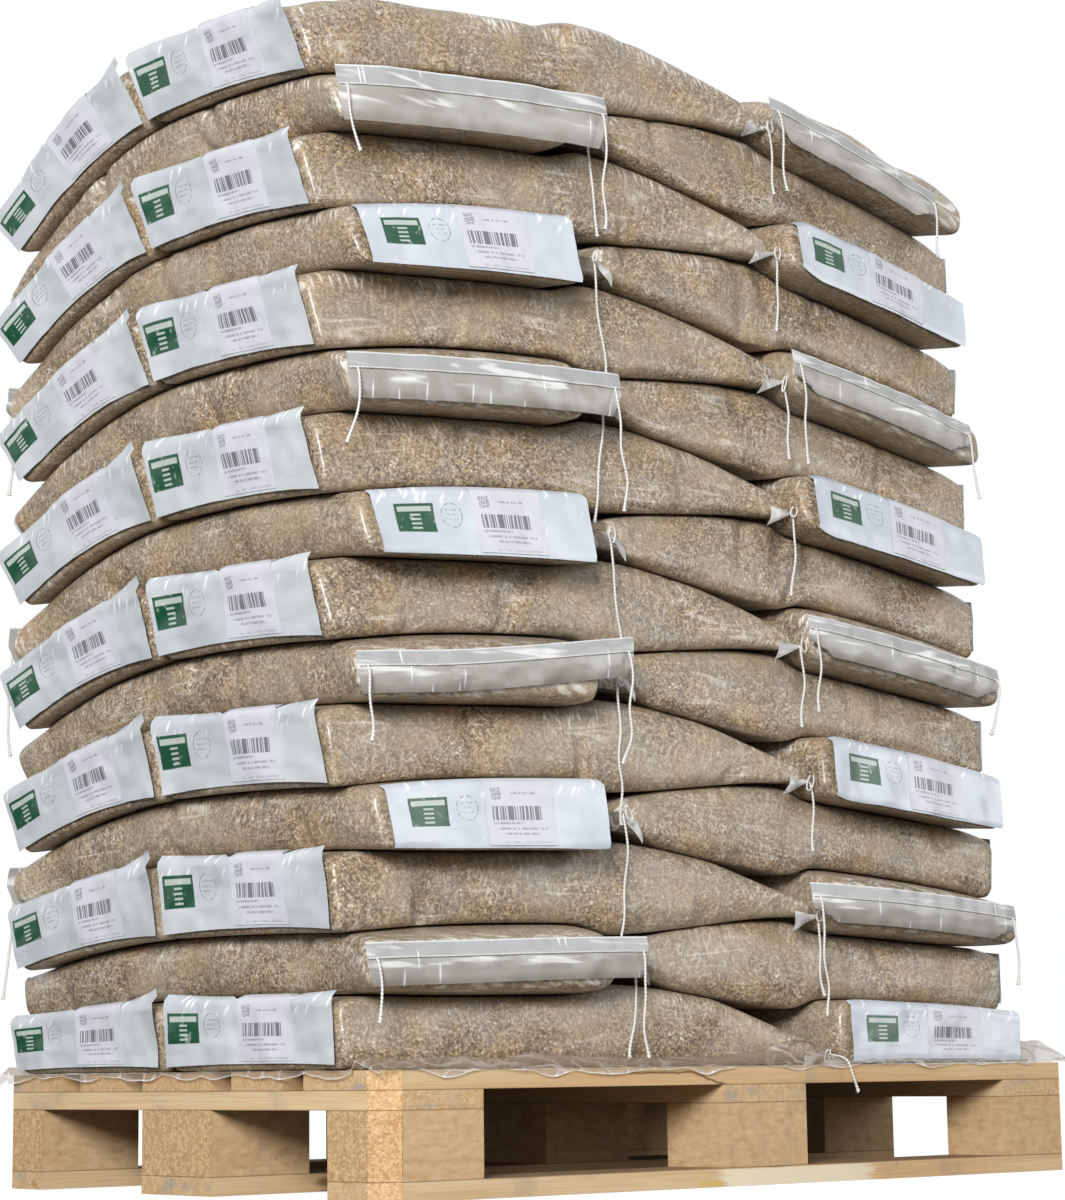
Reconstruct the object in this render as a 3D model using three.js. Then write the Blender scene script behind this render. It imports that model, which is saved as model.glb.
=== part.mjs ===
// A loaded pallet: forty-five film sacks of grain in fifteen layers on a 1200 by 800 wooden pallet.
// Millimetres, +Z up. The origin is the middle of the pallet on the floor, X runs along its 1200 side.
import * as THREE from "three";
import { mergeVertices } from "three/addons/utils/BufferGeometryUtils.js";

// The pallet's timber
const PALLET_LENGTH = 1200;
const PALLET_WIDTH = 800;
const BOARD_THICK = 22;
const BLOCK_HEIGHT = 78;
const WIDE_BOARD = 145;
const NARROW_BOARD = 100;
const CORNER_CUT = 27;

// The heights at which the timber changes, from the floor up
const BLOCK_FLOOR = BOARD_THICK;
const STRINGER_FLOOR = BLOCK_FLOOR + BLOCK_HEIGHT;
const DECK_FLOOR = STRINGER_FLOOR + BOARD_THICK;
const DECK_TOP = DECK_FLOOR + BOARD_THICK;

// The film sheet that lies on the deck
const SHEET_THICK = 1;
const SHEET_OVERHANG = 6;

// The sacks
const LAYERS = 15;
const LAYER_PITCH = 89.7;
const REST_GAP = 0.3;
const SACK_LENGTH = 760;
const LONG_SACK_WIDTH = 350;
const CROSS_SACK_WIDTH = 360;
const SACK_SPACING = 4;
const LEAST_THICK = 11;
const MOUTH_FLARE = 24;
const MOUTH_WIDENS = 28;

// Where the layers lie on the deck: odd layers have their pair of lengthwise sacks at -X, even ones at +X
const ODD_START_X = -612;
const EVEN_START_X = -587;
const PAIR_MIDDLE_Y = 5;
const PAIR_FAR_Y = 352;
const CROSS_START_Y = -388;
const CROSS_FAR_Y = 372;

// How far the top layer has leaned from the bottom one, while its far side stays upright
const LEAN_X = -34;
const LEAN_Y = 30;

// How the layers sag toward the sides of the stack, as a share of the squared distance
const SAG_X = 1.715e-4;
const SAG_NEAR = 2.0e-4;
const SAG_FAR = 6.85e-4;
const SAG_MIDDLE_X = -100;
const SAG_MIDDLE_Y = -12;
const SAG_SETTLES = 4.75;
const SAG_AT_TOP = 0.48;

// The pairs are thin at their mouths, so the layers fall in there, and end the hollow at the crosswise sack
const HOLLOW = 14;
const EVEN_MOUTH_X = -195;
const ODD_MOUTH_X = 120;
const HOLLOW_REACH = 140;
const HOLLOW_END = 35;

// The labelled ends of the pairs stay full, so the crosswise sacks above and below are thinner there
const END_SWELL = 7;
const LEFT_END_X = -650;
const RIGHT_END_X = 580;
const END_REACH = 130;

// The bends in each layer's surface lie along these lines
const BENDS_X = [-660, -560, -460, -360, -270, -180, -90, 0, 100, 190, 280, 380, 480, 560];
const BENDS_Y = [-400, -310, -210, -105, 5, 110, 210, 310, 400];
const LEAST_STEP = 30;

// How each kind of sack edge is rounded: how far its rim lies inside and below the fullest line
const SIDE = { inset: 20, drop: 14 };
const LABEL_END = { inset: 9, drop: 7 };
const TUCKED_MOUTH = { inset: 30, thick: 22 };
const STANDING_MOUTH = { inset: 12, thick: 58 };
const CORNER_PULL = 7;
const SEAM_HALF = 26;
const SEAM_DEPTH = 34;
const SEAM_NOTCH = 36;
const INSET_SHARE = 0.45;

const pine = new THREE.MeshStandardMaterial({ color: 0xd9bd8e, roughness: 0.8, metalness: 0 });
const pressedWood = new THREE.MeshStandardMaterial({ color: 0xc9a877, roughness: 0.9, metalness: 0 });
const grainInFilm = new THREE.MeshStandardMaterial({ color: 0xa98f6c, roughness: 0.35, metalness: 0 });
const clearFilm = new THREE.MeshStandardMaterial({ color: 0xe4e6e6, roughness: 0.2, metalness: 0 });

const pallet = new THREE.Group();
const stack = new THREE.Group();

function place(group, name, geometry, material, x = 0, y = 0, z = 0) {
  const mesh = new THREE.Mesh(geometry, material);
  mesh.name = name;
  mesh.position.set(x, y, z);
  group.add(mesh);
}

// A board lies from its lowest height up, and its outline is cut off where it reaches the pallet's corners
function timber(xFrom, xTo, yFrom, yTo, height) {
  const halfLength = PALLET_LENGTH / 2;
  const halfWidth = PALLET_WIDTH / 2;
  const outline = [];
  for (const [x, y] of [[xFrom, yFrom], [xTo, yFrom], [xTo, yTo], [xFrom, yTo]]) {
    if (Math.abs(x) < halfLength || Math.abs(y) < halfWidth) {
      outline.push(new THREE.Vector2(x, y));
      continue;
    }
    const alongX = new THREE.Vector2(x - Math.sign(x) * CORNER_CUT, y);
    const alongY = new THREE.Vector2(x, y - Math.sign(y) * CORNER_CUT);
    outline.push(...(Math.sign(x) === Math.sign(y) ? [alongY, alongX] : [alongX, alongY]));
  }
  return new THREE.ExtrudeGeometry(new THREE.Shape(outline), { depth: height, bevelEnabled: false });
}

function addPallet() {
  const halfLength = PALLET_LENGTH / 2;
  const halfWidth = PALLET_WIDTH / 2;
  const rows = [
    { name: "near", from: -halfWidth, width: NARROW_BOARD },
    { name: "middle", from: -WIDE_BOARD / 2, width: WIDE_BOARD },
    { name: "far", from: halfWidth - NARROW_BOARD, width: NARROW_BOARD },
  ];
  const columns = [
    { name: "left", from: -halfLength },
    { name: "centre", from: -WIDE_BOARD / 2 },
    { name: "right", from: halfLength - WIDE_BOARD },
  ];

  for (const row of rows) {
    const skid = timber(-halfLength, halfLength, row.from, row.from + row.width, BOARD_THICK);
    place(pallet, "bottom_board_" + row.name, skid, pine);
    for (const column of columns) {
      const xTo = column.from + WIDE_BOARD;
      const block = timber(column.from, xTo, row.from, row.from + row.width, BLOCK_HEIGHT);
      place(pallet, "block_" + row.name + "_" + column.name, block, pressedWood, 0, 0, BLOCK_FLOOR);
    }
  }

  for (const column of columns) {
    const stringer = timber(column.from, column.from + WIDE_BOARD, -halfWidth, halfWidth, BOARD_THICK);
    place(pallet, "stringer_board_" + column.name, stringer, pine, 0, 0, STRINGER_FLOOR);
  }

  const deckWidths = [WIDE_BOARD, NARROW_BOARD, WIDE_BOARD, NARROW_BOARD, WIDE_BOARD];
  const timberAcross = deckWidths.reduce((sum, width) => sum + width, 0);
  const deckSpace = (PALLET_WIDTH - timberAcross) / (deckWidths.length - 1);
  let from = -halfWidth;
  deckWidths.forEach((width, index) => {
    const board = timber(-halfLength, halfLength, from, from + width, BOARD_THICK);
    place(pallet, "deck_board_" + (index + 1), board, pine, 0, 0, DECK_FLOOR);
    from += width + deckSpace;
  });
}

function addSheet() {
  const length = PALLET_LENGTH + 2 * SHEET_OVERHANG;
  const width = PALLET_WIDTH + 2 * SHEET_OVERHANG;
  const sheet = new THREE.BoxGeometry(length, width, SHEET_THICK);
  place(pallet, "deck_film_sheet", sheet, clearFilm, 0, 0, DECK_TOP + SHEET_THICK / 2);
}

// The surface between two layers is a sum of one curve along X and one along Y, straight between bends
function bell(distance, reach) {
  return Math.exp(-((distance / reach) ** 2));
}

function mouthBell(x, middle, sackSide) {
  return bell(x - middle, (x - middle) * sackSide > 0 ? HOLLOW_REACH : HOLLOW_END);
}

function sagGrown(level) {
  return 1 - Math.exp(-level / SAG_SETTLES) + SAG_AT_TOP * (level / LAYERS) ** 4;
}

function curveAlongX(level, x) {
  if (level === 0) return 0;
  const turn = level % 2 === 1 ? 1 : -1;
  const hollow = HOLLOW * (mouthBell(x, EVEN_MOUTH_X, 1) - mouthBell(x, ODD_MOUTH_X, -1));
  const swell = END_SWELL * (bell(x - LEFT_END_X, END_REACH) - bell(x - RIGHT_END_X, END_REACH));
  return turn * (hollow + swell) - SAG_X * sagGrown(level) * (x - SAG_MIDDLE_X) ** 2;
}

function curveAlongY(level, y) {
  if (level === 0) return 0;
  const share = y < SAG_MIDDLE_Y ? SAG_NEAR : SAG_FAR;
  return -share * sagGrown(level) * (y - SAG_MIDDLE_Y) ** 2;
}

function straightBetween(bends, curve, at) {
  const last = bends.length - 2;
  const found = bends.findIndex((bend) => bend > at) - 1;
  const i = found < 0 ? (at < bends[0] ? 0 : last) : found;
  const share = (at - bends[i]) / (bends[i + 1] - bends[i]);
  return curve(bends[i]) * (1 - share) + curve(bends[i + 1]) * share;
}

function surfaceHeight(level, x, y) {
  const alongX = straightBetween(BENDS_X, (at) => curveAlongX(level, at), x);
  const alongY = straightBetween(BENDS_Y, (at) => curveAlongY(level, at), y);
  return DECK_TOP + SHEET_THICK + level * LAYER_PITCH + alongX + alongY;
}

// A sack's grid lines: its two ends, the bends inside them, and the seam of a pair with its two shoulders
function gridLines(from, to, bends, seam) {
  const near = (line) => (bend) => Math.abs(bend - line) < LEAST_STEP;
  const offSeam = bends.filter((bend) => Math.abs(bend - seam) > SEAM_HALF / 2);
  const shoulders = [seam - SEAM_HALF, seam + SEAM_HALF];
  const [left, right] = shoulders.map((line) => offSeam.find(near(line)) ?? line);
  const clear = (bend) => ![from, to].some((line) => near(line)(bend));
  const inside = bends.filter((bend) => bend > from && bend < to && clear(bend));
  if (seam === undefined) return [from, ...inside, to];
  const low = inside.filter((bend) => bend < left);
  const high = inside.filter((bend) => bend > right);
  return [from, ...low, left, seam, right, ...high, to];
}

// One solid of a layer. edges gives the kind of its four sides, flare the side its mouth spreads to.
function sackSolid({ level, x0, x1, y0, y1, edges, seam, flare }) {
  const xs = gridLines(x0, x1, BENDS_X);
  const ys = gridLines(y0, y1, BENDS_Y, seam);
  const [nx, ny] = [xs.length - 1, ys.length - 1];
  const box = new THREE.BoxGeometry(1, 1, 1, nx, ny, 2);
  box.deleteAttribute("normal");
  box.deleteAttribute("uv");
  const solid = mergeVertices(box);
  const position = solid.attributes.position;

  for (let n = 0; n < position.count; n++) {
    const i = Math.round((position.getX(n) + 0.5) * nx);
    const j = Math.round((position.getY(n) + 0.5) * ny);
    const height = Math.round(position.getZ(n) * 2);
    const edgeX = i === 0 ? edges.x0 : i === nx ? edges.x1 : null;
    const edgeY = j === 0 ? edges.y0 : j === ny ? edges.y1 : null;
    const inwardX = i === 0 ? 1 : -1;
    const inwardY = j === 0 ? 1 : -1;
    const onSeam = ys[j] === seam;
    const roomX = edgeX ? Math.abs(xs[i + inwardX] - xs[i]) * INSET_SHARE : 0;
    let x = xs[i];
    let y = ys[j];

    if (edgeY === STANDING_MOUTH && edgeX && inwardX === flare) x -= inwardX * MOUTH_FLARE;
    if (edgeX === TUCKED_MOUTH && edgeY) y -= inwardY * MOUTH_WIDENS;
    if (edgeX && onSeam) x += inwardX * Math.min(SEAM_NOTCH, roomX);
    if (height !== 0) {
      if (edgeX) x += inwardX * Math.min(edgeX.inset, roomX);
      if (edgeY) y += inwardY * edgeY.inset;
    } else if (edgeX && edgeY) {
      x += inwardX * CORNER_PULL;
      y += inwardY * CORNER_PULL;
    }

    const top = surfaceHeight(level, x, y) - REST_GAP / 2;
    const bottom = surfaceHeight(level - 1, x, y) + REST_GAP / 2;
    const thick = top - bottom;
    const drops = [0];
    for (const edge of [edgeX, edgeY]) {
      if (edge) drops.push(edge.thick ? (thick - edge.thick) / 2 : edge.drop);
    }
    if (onSeam) drops.push(Math.min(SEAM_DEPTH, thick / 3));
    const drop = Math.min(Math.max(...drops), (thick - LEAST_THICK) / 2);
    const z = (top + bottom) / 2 + height * (thick / 2 - drop);
    position.setXYZ(n, x, y, z);
  }
  return solid;
}

function addLayer(level) {
  const odd = level % 2 === 1;
  const share = (level - 1) / (LAYERS - 1);
  const shiftX = LEAN_X * share;
  const shiftY = LEAN_Y * share;
  const start = shiftX + (odd ? ODD_START_X : EVEN_START_X);
  const pairX = odd ? start : start + CROSS_SACK_WIDTH + SACK_SPACING;
  const crossX = odd ? start + SACK_LENGTH + SACK_SPACING : start;
  const middle = PAIR_MIDDLE_Y + shiftY;
  const crossY = CROSS_START_Y + shiftY;
  const name = "layer_" + String(level).padStart(2, "0");

  const pair = sackSolid({
    level,
    x0: pairX,
    x1: pairX + SACK_LENGTH,
    y0: middle - LONG_SACK_WIDTH,
    y1: PAIR_FAR_Y,
    edges: {
      x0: odd ? LABEL_END : TUCKED_MOUTH,
      x1: odd ? TUCKED_MOUTH : LABEL_END,
      y0: SIDE,
      y1: SIDE,
    },
    seam: middle,
  });
  place(stack, name + "_long_sacks", pair, grainInFilm);

  const mouthNear = level % 4 >= 2;
  const cross = sackSolid({
    level,
    x0: crossX,
    x1: crossX + CROSS_SACK_WIDTH,
    y0: crossY,
    y1: CROSS_FAR_Y,
    edges: {
      x0: SIDE,
      x1: SIDE,
      y0: mouthNear ? STANDING_MOUTH : LABEL_END,
      y1: mouthNear ? LABEL_END : STANDING_MOUTH,
    },
    flare: odd ? -1 : 1,
  });
  place(stack, name + "_cross_sack", cross, grainInFilm);
}

addPallet();
addSheet();
for (let level = 1; level <= LAYERS; level++) addLayer(level);

const loadedPallet = new THREE.Group();
loadedPallet.add(pallet, stack);
export default loadedPallet;
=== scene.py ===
# %% [markdown]
# A pallet of sacks
#
# Forty-five clear film sacks of mixed grain stand in fifteen layers on a four-way wooden pallet. The
# layers are cross-stacked: each has two sacks lengthwise and one crosswise, and the next layer is turned
# the other way round, so that every layer ties the one below together. The timber comes from the packed
# model. Here each sack gets its own soft skin, its printed end panel and its mouth of empty film, and two
# mouths in each layer get threads.

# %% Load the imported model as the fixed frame
import zlib
import math
import bpy
import numpy as np
from mathutils import Matrix


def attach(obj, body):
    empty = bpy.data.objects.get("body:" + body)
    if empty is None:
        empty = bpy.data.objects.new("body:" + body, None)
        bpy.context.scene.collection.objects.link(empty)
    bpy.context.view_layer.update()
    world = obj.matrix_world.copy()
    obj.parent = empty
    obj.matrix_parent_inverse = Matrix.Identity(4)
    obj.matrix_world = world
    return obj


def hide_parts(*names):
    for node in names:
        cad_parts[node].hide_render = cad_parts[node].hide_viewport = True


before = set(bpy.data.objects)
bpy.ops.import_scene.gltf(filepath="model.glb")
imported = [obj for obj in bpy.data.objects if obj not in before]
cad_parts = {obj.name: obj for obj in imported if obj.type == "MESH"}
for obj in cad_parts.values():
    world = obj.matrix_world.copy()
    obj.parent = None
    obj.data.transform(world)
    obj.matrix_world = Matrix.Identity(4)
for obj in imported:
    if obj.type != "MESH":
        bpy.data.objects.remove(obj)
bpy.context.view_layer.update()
scene = bpy.context.scene

# %% [markdown]
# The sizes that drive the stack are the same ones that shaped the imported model: the height of a layer,
# the length and width of a sack, how far the load leans and how much it sags toward its sides. All are
# metres. The pallet's middle on the floor is the origin, X runs along its long side and Z points up.

# %% Driving sizes
LAYERS = 15
DECK_TOP = 0.144
LOAD_FLOOR = 0.145
LAYER_PITCH = 0.0897
SACK_LENGTH = 0.760
LONG_WIDTH = 0.350
CROSS_WIDTH = 0.360
SACK_SPACING = 0.004

ODD_START_X = -0.612
EVEN_START_X = -0.587
PAIR_MIDDLE_Y = 0.005
PAIR_FAR_Y = 0.352
CROSS_START_Y = -0.388
CROSS_FAR_Y = 0.372
LEAN_X = -0.034
LEAN_Y = 0.030

SAG_X = 0.1715
SAG_NEAR = 0.20
SAG_FAR = 0.685
SAG_MIDDLE_X = -0.100
SAG_MIDDLE_Y = -0.012
SAG_SETTLES = 4.75
SAG_AT_TOP = 0.48
HOLLOW = 0.014
EVEN_MOUTH_X = -0.195
ODD_MOUTH_X = 0.120
HOLLOW_REACH = 0.140
HOLLOW_END = 0.035
END_SWELL = 0.007
LEFT_END_X = -0.650
RIGHT_END_X = 0.580
END_REACH = 0.130

# %% [markdown]
# The camera stands low in front of the near corner and looks slightly up, as the photographer did. Its
# place was worked out from the pallet's corners, whose real sizes are known. A lens of 85.5 mm on a
# frame 36 mm high gives the photograph's perspective.

# %% Camera
AZIMUTH = math.radians(-41.29)
ELEVATION = math.radians(-9.4)
ROLL = math.radians(-0.72)
CAMERA_PLACE = (-2.564, -2.896, 0.140)
LENS_MM = 85.5
FRAME_HEIGHT_MM = 36.0


def aim_camera():
    """The camera's axes follow from its azimuth, elevation and roll: back, right and up are its columns."""
    flat = math.cos(ELEVATION)
    back = np.array([math.sin(AZIMUTH) * flat, -math.cos(AZIMUTH) * flat, math.sin(ELEVATION)])
    right = np.cross(-back, [0, 0, 1])
    right /= np.linalg.norm(right)
    up = np.cross(right, -back)
    turned_right = math.cos(ROLL) * right + math.sin(ROLL) * up
    turned_up = math.cos(ROLL) * up - math.sin(ROLL) * right
    lens = bpy.data.cameras.new("photo_camera")
    lens.sensor_fit = "VERTICAL"
    lens.sensor_height = FRAME_HEIGHT_MM
    lens.lens = LENS_MM
    lens.clip_end = 100
    camera = bpy.data.objects.new("photo_camera", lens)
    axes = np.column_stack([turned_right, turned_up, back])
    camera.matrix_world = Matrix.Translation(CAMERA_PLACE) @ Matrix(axes.tolist()).to_4x4()
    scene.collection.objects.link(camera)
    scene.camera = camera
    print("camera at", CAMERA_PLACE)


aim_camera()

# %% [markdown]
# Two layers of sacks press against each other along a shared surface. It sags toward the sides of the
# stack, more so as the layers add up, and it falls in where the sacks of a pair get thin toward their
# mouths. One function gives its height, so sacks that touch fit each other everywhere.

# %% The surface between two layers


def bell(distance, reach):
    """1 at the middle and falling off to both sides: e to minus the squared share of the reach."""
    return np.exp(-((distance / reach) ** 2))


def mouth_bell(x, middle, sack_side):
    """A bell that is wide on the side where the thin sack lies and narrow on the other."""
    return bell(x - middle, np.where((x - middle) * sack_side > 0, HOLLOW_REACH, HOLLOW_END))


def sag_grown(level):
    """How much of the full sag a layer shows: it settles over the first layers and grows at the top."""
    return 1 - math.exp(-level / SAG_SETTLES) + SAG_AT_TOP * (level / LAYERS) ** 4


def surface_height(level, x, y):
    """Height of a layer's top at (x, y): even pitch, plus hollows and full ends, less a squared sag."""
    if level == 0:
        return np.full(np.shape(x), LOAD_FLOOR)
    turn = 1 if level % 2 else -1
    hollow = HOLLOW * (mouth_bell(x, EVEN_MOUTH_X, 1) - mouth_bell(x, ODD_MOUTH_X, -1))
    swell = END_SWELL * (bell(x - LEFT_END_X, END_REACH) - bell(x - RIGHT_END_X, END_REACH))
    sag_x = SAG_X * (x - SAG_MIDDLE_X) ** 2
    sag_y = np.where(y < SAG_MIDDLE_Y, SAG_NEAR, SAG_FAR) * (y - SAG_MIDDLE_Y) ** 2
    return LOAD_FLOOR + level * LAYER_PITCH + turn * (hollow + swell) - sag_grown(level) * (sag_x + sag_y)


print("top of the load at its middle:", round(float(surface_height(LAYERS, 0.0, 0.0)), 3))

# %% [markdown]
# Every sack has its own place: the middle of its labelled end, the direction from there to its stitched
# mouth, and the direction across it. In odd layers the pair lies at the left end, in even layers at the
# right end, and the labels face outwards. Crosswise sacks show their label or their mouth in turn.

# %% Where every sack lies
UP = np.array([0.0, 0.0, 1.0])


def place_sack(name, level, node, label_middle, along, length, width, outward):
    """A sack's record. Outer says which way across, the level direction square to along, faces outside."""
    along = np.array([along[0], along[1], 0.0])
    across = np.cross(UP, along)
    return {
        "name": name,
        "level": level,
        "node": node,
        "start": np.array([label_middle[0], label_middle[1], 0.0]),
        "along": along,
        "across": across,
        "outer": 1 if across[:2] @ outward > 0 else -1,
        "length": length,
        "half_width": width / 2 - SACK_SPACING / 4,
        "odd": level % 2 == 1,
        "paired": not name.endswith("cross"),
        "seed": level * 10 + len(name),
    }


def sacks_of_layer(level):
    """The three sacks of one layer, from the same starts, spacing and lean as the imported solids."""
    odd = level % 2 == 1
    share = (level - 1) / (LAYERS - 1)
    start = LEAN_X * share + (ODD_START_X if odd else EVEN_START_X)
    pair_x = start if odd else start + CROSS_WIDTH + SACK_SPACING
    cross_x = start + SACK_LENGTH + SACK_SPACING if odd else start
    middle_y = PAIR_MIDDLE_Y + LEAN_Y * share
    cross_y = CROSS_START_Y + LEAN_Y * share
    label_x, along = (pair_x, (1, 0)) if odd else (pair_x + SACK_LENGTH, (-1, 0))
    tag = f"layer_{level:02d}"
    placed = []
    node = tag + "_long_sacks"
    for side, near_y, far_y, sign in (
        ("near", middle_y - LONG_WIDTH, middle_y, -1),
        ("far", middle_y, PAIR_FAR_Y, 1),
    ):
        middle = (label_x, (near_y + far_y) / 2)
        size = (SACK_LENGTH, far_y - near_y)
        placed.append(place_sack(f"{tag}_{side}", level, node, middle, along, *size, (0, sign)))
    label_y, along = (CROSS_FAR_Y, (0, -1)) if level % 4 >= 2 else (cross_y, (0, 1))
    middle = (cross_x + CROSS_WIDTH / 2, label_y)
    outward = (1, 0) if odd else (-1, 0)
    size = (CROSS_FAR_Y - cross_y, CROSS_WIDTH)
    placed.append(place_sack(tag + "_cross", level, tag + "_cross_sack", middle, along, *size, outward))
    return placed


SACKS = [sack for level in range(1, LAYERS + 1) for sack in sacks_of_layer(level)]
print(len(SACKS), "sacks in", LAYERS, "layers")

# %% [markdown]
# Grain in film is never quite even. Its lumps come from a few dozen sine waves of one wavelength that
# run in seeded directions. Their sum is smooth, never repeats over a sack and is the same on each run.

# %% Lumps, and a mesh from a grid of points


def lumps(points, wavelength, seed, waves=16):
    """Sum of sine waves in random directions, scaled so that it mostly stays between -1 and 1."""
    rng = np.random.default_rng(seed)
    directions = rng.normal(size=(waves, 3))
    directions *= 2 * np.pi / (wavelength * np.linalg.norm(directions, axis=1, keepdims=True))
    phases = rng.uniform(0, 2 * np.pi, waves)
    return np.sin(points @ directions.T + phases).sum(axis=-1) / math.sqrt(waves)


def crumples(points, seed, broad, fine):
    """Broad and fine lumps together, each given as a height and a wavelength."""
    return broad[0] * lumps(points, broad[1], seed) + fine[0] * lumps(points, fine[1], seed + 1)


def step_lengths(line):
    """The distances from each point of a line to the next."""
    return np.linalg.norm(np.diff(line, axis=0), axis=1)


def grid_faces(rows, columns, wraps):
    """Corner numbers of the quads between grid lines. The last column joins the first if it wraps."""
    i, j = np.meshgrid(np.arange(rows - 1), np.arange(columns if wraps else columns - 1), indexing="ij")
    k = (j + 1) % columns
    this, onward = i * columns, (i + 1) * columns
    return np.stack([this + j, this + k, onward + k, onward + j], -1).reshape(-1, 4)


def surface_mesh(name, points, wraps=False, poles=None, uv=None, values=None, flip=False):
    """A mesh through a grid of points. A wrapped grid is closed at both ends by fans to its two poles.

    A mapped piece also gets a number of its own, which its finish uses to place its marks.
    """
    rows, columns = points.shape[:2]
    vertices = points.reshape(-1, 3)
    faces = grid_faces(rows, columns, wraps).tolist()
    if poles is not None:
        first, last = rows * columns, rows * columns + 1
        vertices = np.vstack([vertices, poles])
        ring = np.arange(columns)
        onward = (ring + 1) % columns
        end = (rows - 1) * columns
        faces += np.stack([onward, ring, np.full(columns, first)], -1).tolist()
        faces += np.stack([end + ring, end + onward, np.full(columns, last)], -1).tolist()
    if flip:
        faces = [face[::-1] for face in faces]
    mesh = bpy.data.meshes.new(name)
    mesh.from_pydata(vertices.tolist(), [], faces)
    corners = np.empty(len(mesh.loops), dtype=np.int32)
    mesh.loops.foreach_get("vertex_index", corners)
    if uv is not None:
        flat = uv.reshape(-1, 2)
        if poles is not None:
            flat = np.vstack([flat, flat[:columns].mean(axis=0), flat[-columns:].mean(axis=0)])
        mesh.uv_layers.new(name="UVMap").data.foreach_set("uv", flat[corners].ravel().astype(np.float32))
    values = dict(values or {})
    if uv is not None:
        values["own"] = np.full(points.shape[:2], zlib.crc32(name.encode()) % 997 / 97)
    for label, field in values.items():
        flat = field.ravel()
        if poles is not None:
            flat = np.concatenate([flat, [flat[0], flat[-1]]])
        mesh.attributes.new(label, "FLOAT", "POINT").data.foreach_set("value", flat.astype(np.float32))
    mesh.polygons.foreach_set("use_smooth", [True] * len(mesh.polygons))
    sides = np.empty(len(mesh.loops), dtype=np.int32)
    mesh.loops.foreach_get("edge_index", sides)
    free = np.bincount(sides, minlength=len(mesh.edges)) == 1
    mesh.attributes.new("sharp_edge", "BOOLEAN", "EDGE").data.foreach_set("value", free)
    mesh.update()
    return mesh


def add_piece(name, mesh, material):
    """Links the mesh as an object at the origin, gives it its finish and lets it ride on the body."""
    piece = bpy.data.objects.new(name, mesh)
    scene.collection.objects.link(piece)
    mesh.materials.append(material)
    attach(piece, "root")
    return piece


def solidify(piece, thickness, offset=-1.0):
    """A sheet gets its real thickness: behind its outer face, or to both sides with an offset of 0."""
    wall = piece.modifiers.new("film_thickness", "SOLIDIFY")
    wall.thickness = thickness
    wall.offset = offset


# %% [markdown]
# Materials are node graphs, but their maths reads best as plain expressions. A small class wraps a
# node's output so that plus, minus, times and the rest add Math nodes, and one method adds any other
# node from its settings and the values or links of its sockets.

# %% Node graphs as expressions


def linear(red, green, blue):
    """A colour read from a photograph, 0 to 255, as the linear colour that the shader mixes."""
    shown = np.array([red, green, blue]) / 255
    return (*np.where(shown <= 0.04045, shown / 12.92, ((shown + 0.055) / 1.055) ** 2.4), 1.0)


class Wire:
    """An output socket that can be used in arithmetic. Each operator adds one Math node."""

    def __init__(self, finish, socket):
        self.finish = finish
        self.socket = socket

    def maths(self, operation, *values):
        settings = {"operation": operation}
        inputs = {index: value for index, value in enumerate(values)}
        return self.finish.node("ShaderNodeMath", settings, inputs)

    def __add__(self, other):
        return self.maths("ADD", self, other)

    def __sub__(self, other):
        return self.maths("SUBTRACT", self, other)

    def __rsub__(self, other):
        return self.maths("SUBTRACT", other, self)

    def __mul__(self, other):
        return self.maths("MULTIPLY", self, other)

    def __pow__(self, other):
        return self.maths("POWER", self, other)

    def __abs__(self):
        return self.maths("ABSOLUTE", self)

    __radd__ = __add__
    __rmul__ = __mul__

    def step(self, low, high):
        """0 below low, 1 above high and a smooth ramp between them. With low above high it falls."""
        start, end = (0.0, 1.0) if low < high else (1.0, 0.0)
        settings = {"interpolation_type": "SMOOTHSTEP"}
        inputs = {"Value": self, "From Min": min(low, high), "From Max": max(low, high)}
        inputs |= {"To Min": start, "To Max": end}
        return self.finish.node("ShaderNodeMapRange", settings, inputs)

    def most(self, other):
        return self.maths("MAXIMUM", self, other)

    def least(self, other):
        return self.maths("MINIMUM", self, other)


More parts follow.
